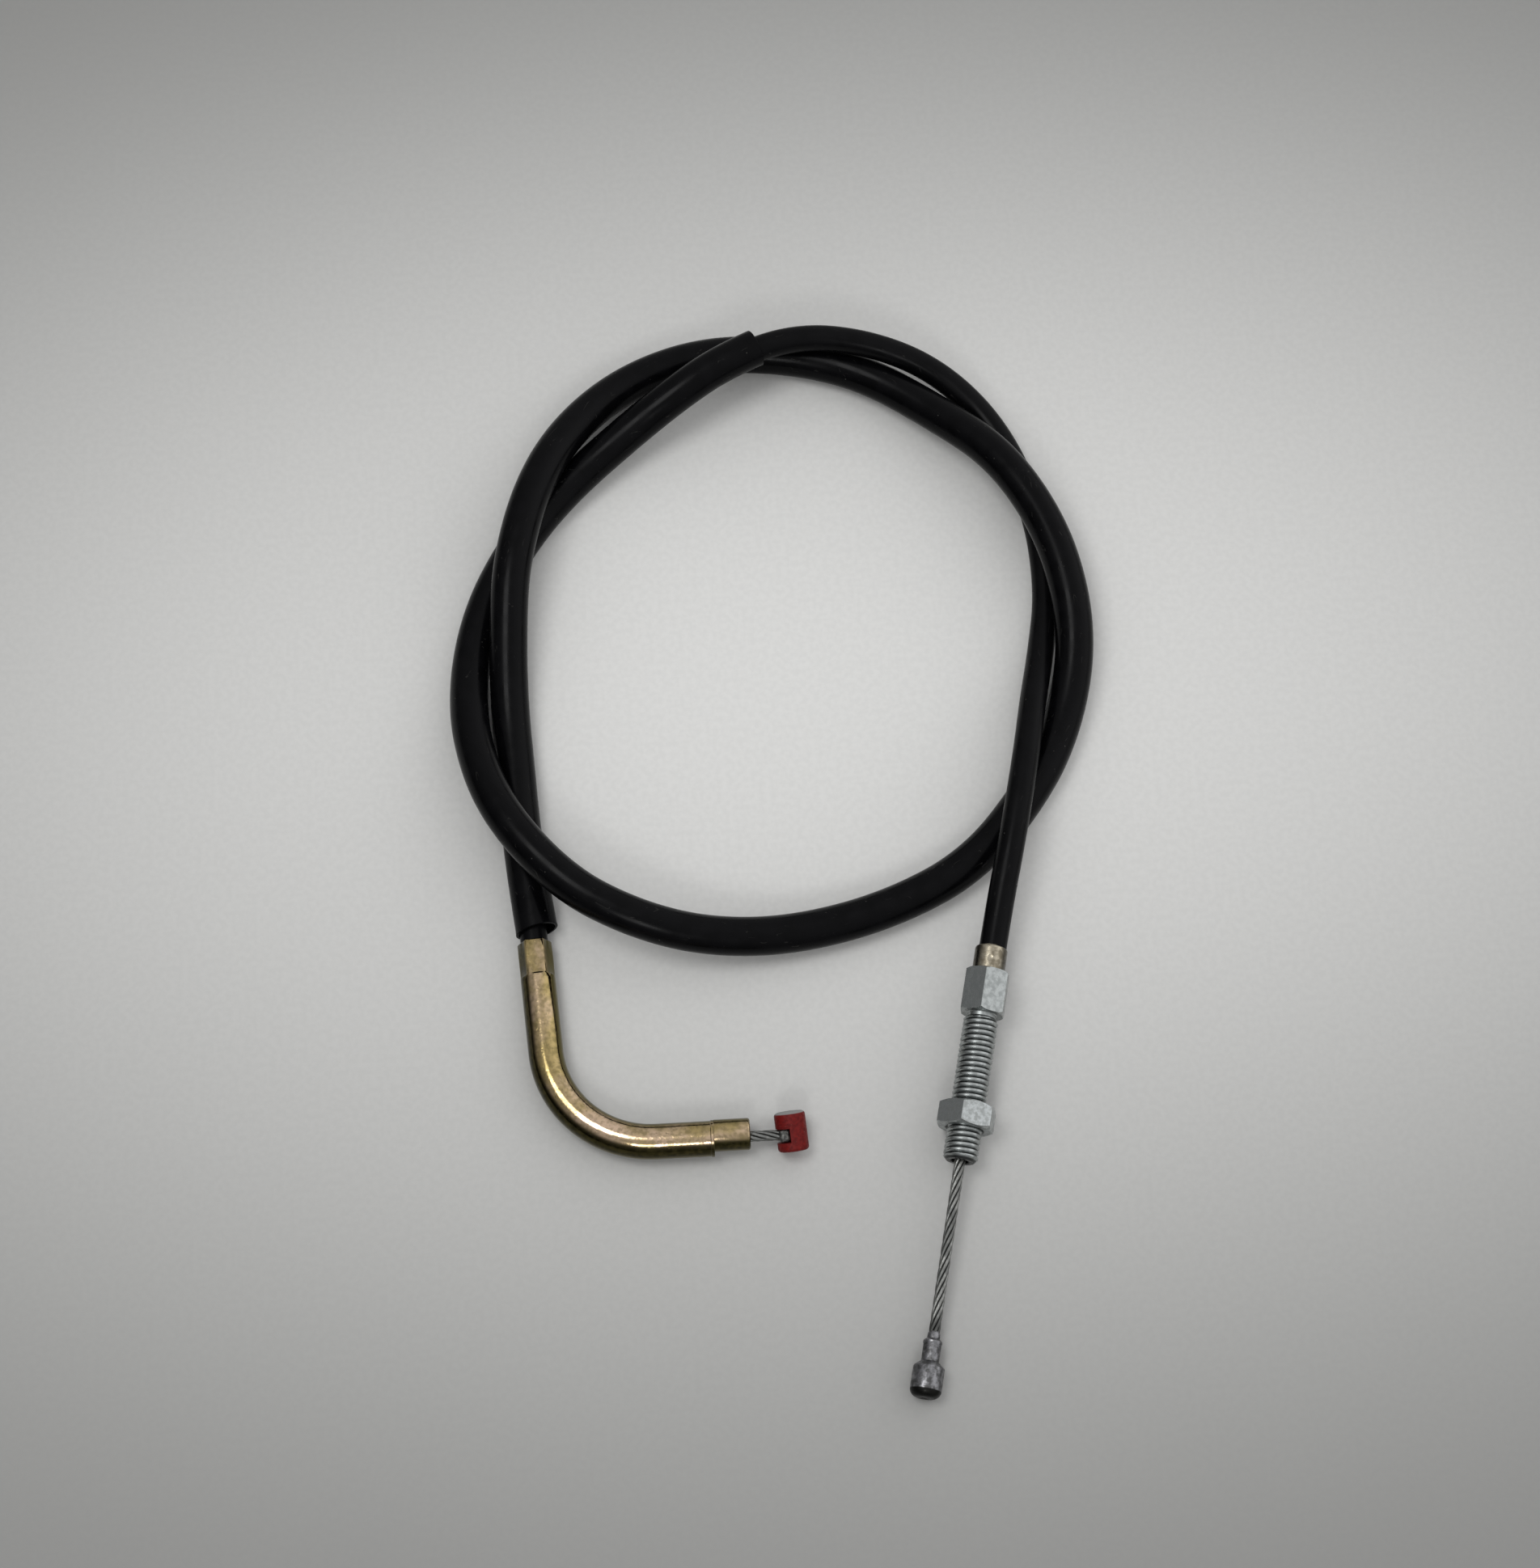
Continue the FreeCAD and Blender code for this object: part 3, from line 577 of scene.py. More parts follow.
# %% Hidden layers
coil_finish, tree, shader = new_finish("wound_spring_steel", (0.42, 0.42, 0.43), 0.38, 1.0)
turns = maths("PINGPONG", maths("DIVIDE", own_part(tree, "Z"), 1.1), 0.5)
raised(shader, grey_ramp(turns, 0.0, 0.12), 0.8, 0.2)
dull = effect(tree, patches, Per_mm=0.6, To=0.7)
feed(shader, {"Base Color": blend(dull, (0.45, 0.45, 0.46), (0.3, 0.29, 0.28))})

liner_finish, tree, shader = new_finish("white_liner", (0.78, 0.77, 0.72), 0.5)
drag = effect(tree, patches, Per_mm=1.5, Stretch=(1, 1, 0.04), Detail=2.0)
feed(shader, {"Base Color": blend(drag, (0.8, 0.79, 0.74), (0.72, 0.71, 0.65))})
raised(shader, drag, 0.2, 0.03)

ARMOUR_TAIL = 10.0
ARMOUR_RADIUS, ARMOUR_BORE = 2.5, 2.0
LINER_RADIUS, LINER_BORE = 1.9, 1.55
armour_from = np.searchsorted(rope_far, rope_far[nearest(rope_line, PIPE_END)] - ARMOUR_TAIL)
armour_shell = tube(rope_line[armour_from:], ARMOUR_RADIUS, ARMOUR_BORE, 20, 0.06)
liner_shell = tube(rope_line, LINER_RADIUS, LINER_BORE, 20, 0.05)
armour = piece("armour_coil", [armour_shell], "cable", coil_finish, ["conduit_armour"])
liner = piece("plastic_liner", [liner_shell], "cable", liner_finish, ["conduit_liner"])

# %% [markdown]
# ## The wire rope
#
# Six strands are laid round a seventh to the right, one turn every 17.5 mm, and the zinc
# on them has gone grey. The two free ends are in plain sight, so they are seven real
# strands. The hidden middle is one long body whose skin has the same six ridges.

# %% Rope finish and strands
SOLDER_FROM, SOLDER_FULL = 58.5, 63.0
rope_finish, tree, shader = new_finish("galvanised_rope", (0.4, 0.4, 0.4), 0.42, 0.9)
cloud = effect(tree, patches, Per_mm=0.35, Detail=4.0)
fine = effect(tree, patches, Per_mm=3.0, Stretch=(1, 1, 0.3), Detail=2.0, From=0.3, To=0.7)
colour = blend(cloud, (0.16, 0.165, 0.16), (0.32, 0.325, 0.31))
colour = blend(times(fine, 0.5), colour, (0.08, 0.078, 0.07))
soldered = times(grey_ramp(own_part(tree, "Z"), SOLDER_FROM, SOLDER_FULL), 0.75)
colour = blend(soldered, colour, (0.05, 0.052, 0.048))
# Painted shade: black in the grooves between the strands
colour = blend(grey_ramp(from_axis(tree), 0.95, 1.14), (0.02, 0.02, 0.018), colour)
feed(shader, {"Base Color": colour, "Roughness": grey_ramp(cloud, 0.0, 1.0, 0.5, 0.38)})
raised(shader, fine, 0.5, 0.04)

WIRE_RADIUS = 1.25
STRANDS = 6
LAY_LENGTH = 17.5
STRAND_RADIUS = 0.43
STRAND_PLACE = WIRE_RADIUS - STRAND_RADIUS


def strands(place, start, end, step=0.5):
    """Seven capped shells along the place's own Z, from start to end."""
    distances = np.arange(start, end + step / 2, step)
    thick = np.full(len(distances), STRAND_RADIUS)
    turn = np.array(place.to_3x3())
    base = np.array(place.translation)
    shells = []
    for k in range(STRANDS + 1):
        out = STRAND_PLACE if k < STRANDS else 0.0
        lay = distances / LAY_LENGTH * 2 * math.pi + k * 2 * math.pi / STRANDS
        centre = np.stack([out * np.cos(lay), out * np.sin(lay), distances], axis=1)
        rows = rows_round(frames_along(centre, (1.0, 0.0, 0.0)), distances, thick, evenly(10))[0]
        shells.append(((rows @ turn.T + base, rows), False))
    return shells


def rope_skin(line):
    """One capped shell with six ridges that turn with the lay."""
    angles = evenly(24)
    ridges = WIRE_RADIUS - 0.22 * (0.5 - 0.5 * np.cos(STRANDS * angles))
    own_x, own_y = ridges * np.cos(angles), ridges * np.sin(angles)
    rows, owns = [], []
    for (centre, side, beside), distance in zip(frames_along(line), distances_along(line)):
        lay = angles + distance / LAY_LENGTH * 2 * math.pi
        rows.append(centre + np.outer(ridges * np.cos(lay), side) + np.outer(ridges * np.sin(lay), beside))
        owns.append(np.stack([own_x, own_y, np.full(len(angles), distance)], axis=1))
    return (np.array(rows), np.array(owns)), False


BEND_START = (22.42, 0.0, 4.5)
rope_end = np.searchsorted(rope_far, rope_far[-1] - 2.0)
hidden_line = rope_line[nearest(rope_line, BEND_START):rope_end]
inner_rope = piece("inner_rope", [rope_skin(hidden_line)], "cable", rope_finish, ["inner_wire"])

# %% The tubes' lengths
print(f"sleeve {distances_along(sleeve_line)[-1]:.1f} mm, conduit {distances_along(conduit_line)[-1]:.1f} mm")

# %% [markdown]
# ## The elbow pipe
#
# A steel pipe bent to 86 degrees carries the cable into the lever. Its lower end is
# turned out into a thin lip, and its upper end is pressed to a hexagon that grips the
# conduit. Its yellow chromate has a painted highlight along the top, and painted shade on
# its sides and on the outside of the bend.

# %% Gold chromate
chromate_finish, tree, shader = new_finish("gold_chromate", (0.42, 0.35, 0.13), 0.2, 1.0)
# Painted highlight: the pipe's top is pale and its sides are dark, by height round the pipe
painted_top_highlight = grey_ramp(own_part(tree, "X"), 2.2, 3.7)
# Painted shade: near-black on the outer side of the bend
painted_bend_shade = grey_ramp(own_part(tree, "Y"), -1.9, -2.7)
painted_bend_shade = times(painted_bend_shade, grey_ramp(own_part(tree, "X"), 0.1, 0.9))
cloud = effect(tree, patches, Per_mm=0.16, Stretch=(1, 1, 0.6), Detail=4.0)
mottle = effect(tree, patches, Per_mm=0.9, Shift=(9, 4, 0), Detail=4.0, To=0.7)
scuff = effect(tree, scratches, Per_mm=0.6, Stretch=(1, 1, 0.5), Width=0.016, Cover=0.45)
# The painted highlight's colour, with cloudy patches, over painted shade (dark olive) on the sides
painted_highlight_colour = blend(cloud, (0.38, 0.29, 0.13), (0.62, 0.46, 0.33))
colour = blend(painted_top_highlight, (0.12, 0.098, 0.028), painted_highlight_colour)
# The painted shade on the outside of the bend
colour = blend(times(painted_bend_shade, 0.88), colour, (0.02, 0.018, 0.008))
colour = blend(times(mottle, 0.5), colour, (0.1, 0.083, 0.03))
colour = blend(times(scuff, 0.55), colour, (0.07, 0.06, 0.03))
rough = plus(grey_ramp(mottle, 0.0, 1.0, 0.11, 0.18), times(scuff, 0.12))
feed(shader, {"Base Color": colour, "Roughness": rough})
raised(shader, less(times(mottle, 0.3), times(scuff, 0.6)), 0.5, 0.05)

# %% The pipe
PIPE_RADIUS, PIPE_BORE = 4.0, 2.75
BEND_RADIUS = 24.0
BEND_TURN = math.radians(86.1)
LOWER_STRAIGHT, UPPER_STRAIGHT = 13.0, 26.45
LIP_RADIUS, LIP_LENGTH = 4.15, 0.8
CRIMP_FLATS, CRIMP_LENGTH = 6.95, 8.3
tangent = BEND_RADIUS * math.tan(BEND_TURN / 2)
bend_length = BEND_RADIUS * BEND_TURN
pipe_length = LOWER_STRAIGHT + bend_length + UPPER_STRAIGHT
corner = ELBOW_CORNER + (0.0, 0.0, SLEEVE_RADIUS)
pipe_mouth = corner + (tangent + LOWER_STRAIGHT, 0.0, 0.0)
bend_centre = corner + (tangent, BEND_RADIUS, 0.0)


def on_pipe(distance):
    """The place on the pipe's centre line this far from its mouth."""
    turned_by = min(max(distance - LOWER_STRAIGHT, 0.0), bend_length) / BEND_RADIUS
    angle = 1.5 * math.pi - turned_by
    round_bend = bend_centre + BEND_RADIUS * np.array((math.cos(angle), math.sin(angle), 0.0))
    on = np.array((math.sin(angle), -math.cos(angle), 0.0))
    before = min(distance - LOWER_STRAIGHT, 0.0)
    after = max(distance - LOWER_STRAIGHT - bend_length, 0.0)
    return round_bend + on * (before + after)


def hexagon_radius(flats, angles, corner_round):
    """How far a hexagon with rounded corners reaches at each angle, a flat at angle 0."""
    half = flats / 2
    off = (angles + math.pi / 6) % (math.pi / 3) - math.pi / 6
    inner = (half - corner_round) / math.cos(math.pi / 6)
    from_corner = math.pi / 6 - np.abs(off)
    flat = half / np.cos(off)
    room = np.maximum(corner_round ** 2 - (inner * np.sin(from_corner)) ** 2, 0.0)
    rounded = inner * np.cos(from_corner) + np.sqrt(room)
    on_flat = half * np.tan(np.abs(off)) <= (half - corner_round) * math.tan(math.pi / 6)
    return np.where(on_flat, flat, rounded)


def pipe_frames(distances):
    """Each place on the pipe's centre line with straight up and the direction beside it."""
    up = np.array((0.0, 0.0, 1.0))
    for distance in distances:
        on = on_pipe(distance + 0.01) - on_pipe(distance - 0.01)
        yield on_pipe(distance), up, np.cross(on / np.linalg.norm(on), up)


angles = evenly(72)
crimp = hexagon_radius(CRIMP_FLATS, angles, 0.5)
crimp_start = pipe_length - CRIMP_LENGTH
stations = [(0.0, LIP_RADIUS - 0.12), (0.12, LIP_RADIUS), (LIP_LENGTH - 0.15, LIP_RADIUS)]
stations += [(LIP_LENGTH, PIPE_RADIUS)]
stations += [(s, PIPE_RADIUS) for s in np.arange(2.0, crimp_start - 1.0, 1.0)]
stations += [(crimp_start - 0.35, PIPE_RADIUS), (crimp_start, 0.3 * PIPE_RADIUS + 0.7 * crimp)]
stations += [(crimp_start + s, crimp) for s in (0.25, 3.0)]
stations += [(pipe_length - s, crimp) for s in (3.0, 0.25)]
stations += [(pipe_length, crimp - 0.2), (pipe_length, PIPE_BORE + 0.1)]
stations += [(s, PIPE_BORE) for s in np.arange(pipe_length - 0.3, 0.5, -1.0)]
stations += [(0.2, PIPE_BORE), (0.0, PIPE_BORE + 0.2)]
distances, radii = zip(*stations)
pipe_shell = (rows_round(pipe_frames(distances), distances, radii, angles), True)
piece("elbow_pipe", [pipe_shell], "cable", chromate_finish, ["elbow_tube"])

# %% [markdown]
# ## Nozzle, free wire and barrel
#
# A plain guide comes out of the pipe's mouth, a little off its line. The wire
# rope leaves it and ends in a red barrel nipple, which drops into the lever. The barrel
# has a milled slot, and solder in the slot holds the rope.

# %% The nozzle


def facing(start, on):
    """A place whose own Z points on and whose own X is nearest to straight up."""
    on = Vector(on).normalized()
    side = on.cross(Vector((0.0, 0.0, 1.0))).normalized()
    place = Matrix((side.cross(on), side, on)).transposed().to_4x4()
    place.translation = Vector(start)
    return place


def quarter(end, radius, ease, steps=4):
    """Points round an outer edge, from the side at end - ease to the face at end."""
    turns = np.linspace(0.0, math.pi / 2, steps + 1)
    return [(end - ease + ease * math.sin(t), radius - ease + ease * math.cos(t)) for t in turns]


NOZZLE_RADIUS, NOZZLE_LENGTH, NOZZLE_ROUND = 3.6, 8.1, 0.6
NOZZLE_OFFSET, NOZZLE_BORE = 0.65, 1.6
NOZZLE_TAIL, TAIL_RADIUS = 6.0, 2.7
head = [(0.0, NOZZLE_RADIUS)] + quarter(NOZZLE_LENGTH, NOZZLE_RADIUS, NOZZLE_ROUND)
profile = [(-NOZZLE_TAIL, TAIL_RADIUS, 0.0), (0.0, TAIL_RADIUS, 0.0)]
profile += [(z, r, -NOZZLE_OFFSET) for z, r in head]
profile += [(NOZZLE_LENGTH, NOZZLE_BORE + 0.25, 0.0), (NOZZLE_LENGTH - 0.25, NOZZLE_BORE, 0.0)]
profile += [(-NOZZLE_TAIL, NOZZLE_BORE, 0.0)]
nozzle_rows = turned(facing(pipe_mouth, (1, 0, 0)), profile, evenly(72))
# Its own Y is measured from the head's middle, and turned to point the way that the pipe's does
nozzle_rows[1][:, :, 1] = -nozzle_rows[1][:, :, 1] - NOZZLE_OFFSET
piece("guide_nozzle", [(nozzle_rows, True)], "cable", chromate_finish, ["elbow_nozzle"])

# %% The lever's wire
nozzle_end = pipe_mouth + (NOZZLE_LENGTH, 0.0, 0.0)
LEVER_STUB, LEVER_FREE = 15.8, 5.8
BARREL_RADIUS, BARREL_LENGTH, BARREL_EDGE, BARREL_OFFSET = 3.5, 8.8, 0.8, 0.7
BARREL_LEAN, BARREL_TILT = 5.0, 23.0
SLOT_WIDTH, SLOT_DEPTH = 3.2, 3.0
wire_length = LEVER_STUB + LEVER_FREE + SLOT_DEPTH - 0.4
lever_place = facing(nozzle_end - (LEVER_STUB, 0.0, 0.0), (1, 0, 0))
lever_shells = strands(lever_place, 0.0, wire_length)
piece("lever_rope", lever_shells, "lever_end", rope_finish, ["lever_wire"])

# %% Red paint and solder
BARE_FROM, BARE_FULL = 4.72, 4.95
paint_finish, tree, shader = new_finish("dull_red_paint", (0.2, 0.02, 0.018), 0.5)
cloud = effect(tree, patches, Per_mm=1.2, Detail=5.0, From=0.3, To=0.7)
chips = effect(tree, patches, Per_mm=1.6, Shift=(3, 8, 2), Detail=5.0, From=0.62, To=0.7)
dust = effect(tree, specks, Per_mm=1.5, Size=0.16, Share=0.2)
colour = blend(cloud, (0.09, 0.004, 0.004), (0.145, 0.007, 0.006))
colour = blend(times(dust, 0.4), colour, (0.3, 0.16, 0.12))
colour = blend(times(chips, 0.4), colour, (0.05, 0.012, 0.012))
bare = grey_ramp(own_part(tree, "Z"), BARE_FROM, BARE_FULL)
colour = blend(bare, colour, (0.24, 0.24, 0.235))
rough = grey_ramp(cloud, 0.0, 1.0, 0.6, 0.42)
feed(shader, {"Base Color": colour, "Roughness": rough, "Specular IOR Level": 0.15})
raised(shader, cloud, 0.4, 0.12)

solder_finish, tree, shader = new_finish("grey_solder", (0.2, 0.2, 0.2), 0.5, 0.8)
cloud = effect(tree, patches, Per_mm=1.2, Detail=5.0)
feed(shader, {"Base Color": blend(cloud, (0.05, 0.05, 0.048), (0.2, 0.2, 0.19))})
raised(shader, cloud, 0.6, 0.2)

# %% The barrel, cut with its slot
barrel_centre = nozzle_end + (LEVER_FREE + BARREL_RADIUS, 0.0, 0.0)
lean = Matrix.Rotation(math.radians(BARREL_LEAN), 4, "Z")
tilt = Matrix.Rotation(math.radians(BARREL_TILT), 4, "X")
barrel_place = lean @ tilt @ Matrix(((1, 0, 0, 0), (0, 0, 1, 0), (0, -1, 0, 0), (0, 0, 0, 1)))
barrel_place.translation = Vector(barrel_centre)
far_rim = quarter(BARREL_LENGTH / 2, BARREL_RADIUS, BARREL_EDGE, 6)
profile = [(-z, r) for z, r in reversed(far_rim)]
profile += [(z, BARREL_RADIUS) for z in (-2.4, -0.8, 0.8, 2.4)] + far_rim
profile = [(z + BARREL_OFFSET, r) for z, r in profile]
barrel_shell = (turned(barrel_place, profile, evenly(96)), False)
barrel = piece("barrel_nipple", [barrel_shell], "lever_end", paint_finish, ["lever_barrel"])
cutter_mesh = bpy.data.meshes.new("slot_cutter")
form = bmesh.new()
bmesh.ops.create_cube(form, size=1.0)
form.to_mesh(cutter_mesh)
form.free()
cutter = shown("slot_cutter", cutter_mesh)
slot_bottom = SLOT_DEPTH - BARREL_RADIUS
slot_middle = Matrix.Translation(((slot_bottom - BARREL_RADIUS - 1.0) / 2, 0, 0))
slot_sides = Matrix.Diagonal((slot_bottom + BARREL_RADIUS + 1.0, 2 * BARREL_RADIUS + 2, SLOT_WIDTH, 1))
cutter.matrix_world = Matrix.Diagonal((MM, MM, MM, 1)) @ barrel_place @ slot_middle @ slot_sides
bpy.context.view_layer.update()
slotting = barrel.modifiers.new("slot", "BOOLEAN")
slotting.operation = "DIFFERENCE"
slotting.solver = "EXACT"
slotting.object = cutter
easing = barrel.modifiers.new("eased_edges", "BEVEL")
easing.width = 0.12 * MM
easing.segments = 2
easing.angle_limit = math.radians(40)
slotted = bpy.data.meshes.new_from_object(barrel.evaluated_get(bpy.context.evaluated_depsgraph_get()))
barrel.modifiers.clear()
barrel.data = slotted
slotted.shade_smooth()
slotted.set_sharp_from_angle(angle=math.radians(38))
bpy.data.objects.remove(cutter)
print("barrel with its slot:", len(slotted.polygons), "faces")

# %% The solder in the slot


def lump(place, centre, sides, squareness, roughen, seed):
    """A capped shell for a rounded lump, with a surface that ran and set unevenly."""
    owns = []
    shift = Vector((seed, 0.0, 0.0))

    def eased(value):
        return math.copysign(abs(value) ** squareness, value)

    for rise in np.linspace(-0.49 * math.pi, 0.49 * math.pi, 24):
        ring = []
        for angle in evenly(36):
            level = eased(math.cos(rise))
            across, along = level * eased(math.cos(angle)), level * eased(math.sin(angle))
            out = Vector((across, along, eased(math.sin(rise))))
            swell = 1.0 + roughen * noise.noise(out * 1.7 + shift)
            swell += 0.4 * roughen * noise.noise(out * 4.5 + shift)
            ring.append([c + s * swell * x for c, s, x in zip(centre, sides, out)])
        owns.append(ring)
    owns = np.array(owns)
    rows = owns @ np.array(place.to_3x3()).T + np.array(place.translation)
    return (rows, owns), False


solder_shell = lump(barrel_place, (-1.65, 0.0, 0.0), (1.3, 2.2, 1.58), 0.55, 0.07, 3.0)
piece("slot_solder", [solder_shell], "lever_end", solder_finish, ["lever_solder"], sharp=60)

# %% [markdown]
# ## The arm end
#
# The conduit ends in a dull steel cap, which sits in the hexagon of a threaded adjuster.
# Turning the adjuster in its bracket takes up slack, and the lock nut holds it. All of it
# lies on one axis, which the model gives with the adjuster's joint.

# %% Zinc and dull steel


def zinc_finish(name, pale, dark, shift, roughness, per_mm, darkening=None):
    """Zinc plate with mottled patches and turning marks, black where a darkening mask is given."""
    material, tree, shader = new_finish(name, pale, roughness, 1.0)
    cloud = effect(tree, patches, Per_mm=per_mm, Shift=shift, Detail=5.0, From=0.36, To=0.66)
    spots = effect(tree, patches, Per_mm=4 * per_mm, Shift=shift, From=0.5, To=0.72)
    lathe = effect(
        tree, patches, Per_mm=4.0, Stretch=(0.05, 0.05, 1), Shift=shift, Detail=1.0, From=0.3, To=0.7
    )
    scuff = effect(tree, scratches, Per_mm=0.8, Shift=shift, Width=0.02, Cover=0.4)
    colour = blend(cloud, pale, dark)
    colour = blend(times(spots, 0.35), colour, dark)
    # Black where the darkening mask says: painted shade in the thread's roots, the bore and on the cap's
    # sides, and the nipple's dark end
    if darkening:
        colour = blend(darkening(tree), colour, (0.015, 0.015, 0.014))
    rough = grey_ramp(cloud, 0.0, 1.0, roughness - 0.05, roughness + 0.08)
    feed(shader, {"Base Color": colour, "Roughness": plus(rough, times(scuff, 0.1))})
    height = plus(times(cloud, 0.5), times(lathe, 0.2))
    raised(shader, less(height, times(scuff, 0.5)), 0.25, 0.05)
    return material


def thread_painted_shade(tree):
    """Painted shade: black in the thread's roots and in the bore, none on the crests and the neck."""
    out = from_axis(tree)
    roots = less(1.0, grey_ramp(out, 3.5, 3.72))
    past_neck = grey_ramp(own_part(tree, "Z"), 11.0, 11.3)
    bore = less(1.0, grey_ramp(out, 2.3, 2.8))
    return maths("MAXIMUM", times(times(roots, past_neck), 0.85), bore)


def cap_painted_side_shade(tree):
    """Painted shade: dark on the cap's sides, none along its top."""
    return grey_ramp(own_part(tree, "X"), 2.0, 3.4, 0.7, 0.0)


def dark_rounded_end(tree):
    """Black on the nipple's rounded end."""
    return grey_ramp(own_part(tree, "Z"), 10.5, 10.75)


adjuster_finish = zinc_finish(
    "adjuster_zinc", (0.37, 0.39, 0.385), (0.27, 0.287, 0.283), (0, 0, 0), 0.3, 0.8, thread_painted_shade
)
nut_finish = zinc_finish("nut_zinc", (0.44, 0.465, 0.465), (0.3, 0.315, 0.31), (20, 0, 0), 0.34, 1.1)
nipple_finish = zinc_finish(
    "nipple_zinc", (0.23, 0.23, 0.24), (0.08, 0.08, 0.08), (50, 0, 0), 0.38, 0.9, dark_rounded_end
)
cap_finish = zinc_finish(
    "dull_cap_steel", (0.4, 0.36, 0.28), (0.19, 0.165, 0.12), (80, 0, 0), 0.3, 0.7, cap_painted_side_shade
)

# %% The arm's axis
joints = frame["record"]["behaviour"]["joints"]
adjuster_joint = next(joint for joint in joints if joint["name"] == "adjuster_turn")
arm_axis = Vector(adjuster_joint["axis"])
cap_top = Vector(adjuster_joint["pos_m"]) / MM


def on_arm(distance, roll=0.0):
    """A place on the arm's axis, this far from the cap's top and rolled by some degrees."""
    return facing(cap_top + arm_axis * distance, arm_axis) @ Matrix.Rotation(math.radians(roll), 4, "Z")


print("arm axis:", [round(x, 4) for x in arm_axis])

# %% The cap
CAP_RADIUS, CAP_LENGTH, CAP_WALL, CAP_BORE, CAP_HOLE = 3.7, 12.0, 1.0, 3.2, 1.6
DIMPLE_RADIUS, DIMPLE_DEPTH, DIMPLE_PLACE = 3.0, 0.12, 3.3
angles = evenly(144)


def dimpled(distance):
    """The cap's radius at this distance, with the punched dimple on its top side."""
    middle = CAP_RADIUS + DIMPLE_RADIUS - DIMPLE_DEPTH
    room = DIMPLE_RADIUS ** 2 - (distance - DIMPLE_PLACE) ** 2 - (middle * np.sin(angles)) ** 2
    inside = middle * np.cos(angles) - np.sqrt(np.maximum(room, 0.0))
    return np.where((room > 0) & (np.cos(angles) > 0), np.minimum(inside, CAP_RADIUS), CAP_RADIUS)


cap_inside = CAP_LENGTH - CAP_WALL
profile = [(-z, r) for z, r in reversed(quarter(0.0, CAP_RADIUS, 0.6, 5))]
profile += [(z, dimpled(z)) for z in np.arange(0.9, 5.6, 0.15)]
profile += [(CAP_LENGTH - 0.2, CAP_RADIUS), (CAP_LENGTH, CAP_RADIUS - 0.2), (CAP_LENGTH, CAP_HOLE)]
profile += [(cap_inside, CAP_HOLE), (cap_inside, CAP_BORE), (0.25, CAP_BORE), (0.0, CAP_BORE + 0.1)]
cap_shell = (turned(on_arm(0.0), profile, angles), True)
piece("conduit_cap", [cap_shell], "cable", cap_finish, ["ferrule_cap"], sharp=30)

# %% [markdown]
# A hexagon that has been turned on a lathe shows curved edges, where the cone of the
# chamfer meets each flat. They are made here by asking, for each direction round the
# piece, where the cone and the hexagon meet, and putting the row of points just there.

# %% Hexagons with turned-off corners


def hexagon_angles():
    """Directions round a hexagon, close together at its corners."""
    near = np.radians([-30, -24, -18, -12, -7, -3.5, -1.6, -0.8, 0.0, 0.8, 1.6, 3.5, 7, 12, 18, 24])
    return np.concatenate([near + k * math.pi / 3 for k in range(6)])


def hexagon_sides(flats, length, chamfer_rim, slope, corner_round):
    """The outer rows of a chamfered hexagon, from its near face to its far one."""
    angles = hexagon_angles()
    reach = hexagon_radius(flats, angles + math.pi / 6, corner_round)
    deep = np.maximum(reach - chamfer_rim, 0.0) * slope
    rim = np.minimum(reach, chamfer_rim)
    ease = 0.08
    rows = [(0.0, rim - ease), (0.3 * ease * np.ones_like(deep), rim - 0.3 * ease)]
    rows += [(np.maximum(deep, ease), reach)]
    rows += [(length - z, r) for z, r in reversed(rows)]
    return rows, angles


# %% The adjuster
HEX_FLATS, HEX_LENGTH, HEX_ROLL = 9.5, 10.1, 4.8
HEX_CHAMFER_RIM, HEX_CHAMFER_SLOPE, HEX_CORNER_ROUND = 4.9, 0.8, 0.14
CAP_SHOWN, SOCKET_RADIUS = 5.8, 3.75
NECK_RADIUS, NECK_LENGTH = 3.3, 0.9
THREAD_RADIUS, THREAD_LENGTH, THREAD_CHAMFER, PITCH = 3.95, 34.4, 0.8, 1.25
ADJUSTER_BORE = 2.0
adjuster_place = on_arm(CAP_SHOWN, HEX_ROLL)
socket_end = CAP_LENGTH - CAP_SHOWN + 0.1
neck_end = HEX_LENGTH + NECK_LENGTH
core_start = neck_end + 0.6
sides, angles = hexagon_sides(HEX_FLATS, HEX_LENGTH, HEX_CHAMFER_RIM, HEX_CHAMFER_SLOPE, HEX_CORNER_ROUND)
profile = sides + [(HEX_LENGTH, NECK_RADIUS + 0.15), (HEX_LENGTH + 0.15, NECK_RADIUS)]
profile += [(core_start, NECK_RADIUS - 0.15), (core_start, ADJUSTER_BORE), (socket_end, ADJUSTER_BORE)]
profile += [(socket_end, SOCKET_RADIUS), (0.2, SOCKET_RADIUS), (0.0, SOCKET_RADIUS + 0.15)]
hexagon_shell = (turned(adjuster_place, profile, angles), True)

THREAD_FORM = [
    (0.0, -0.02), (0.12, 0.0), (0.3, 0.0), (0.42, -0.04), (0.55, -0.2),
    (0.68, -0.42), (0.76, -0.48), (0.84, -0.42), (0.92, -0.2), (0.97, -0.06),
]


thread_end = HEX_LENGTH + THREAD_LENGTH
core_radius = THREAD_RADIUS - THREAD_CHAMFER


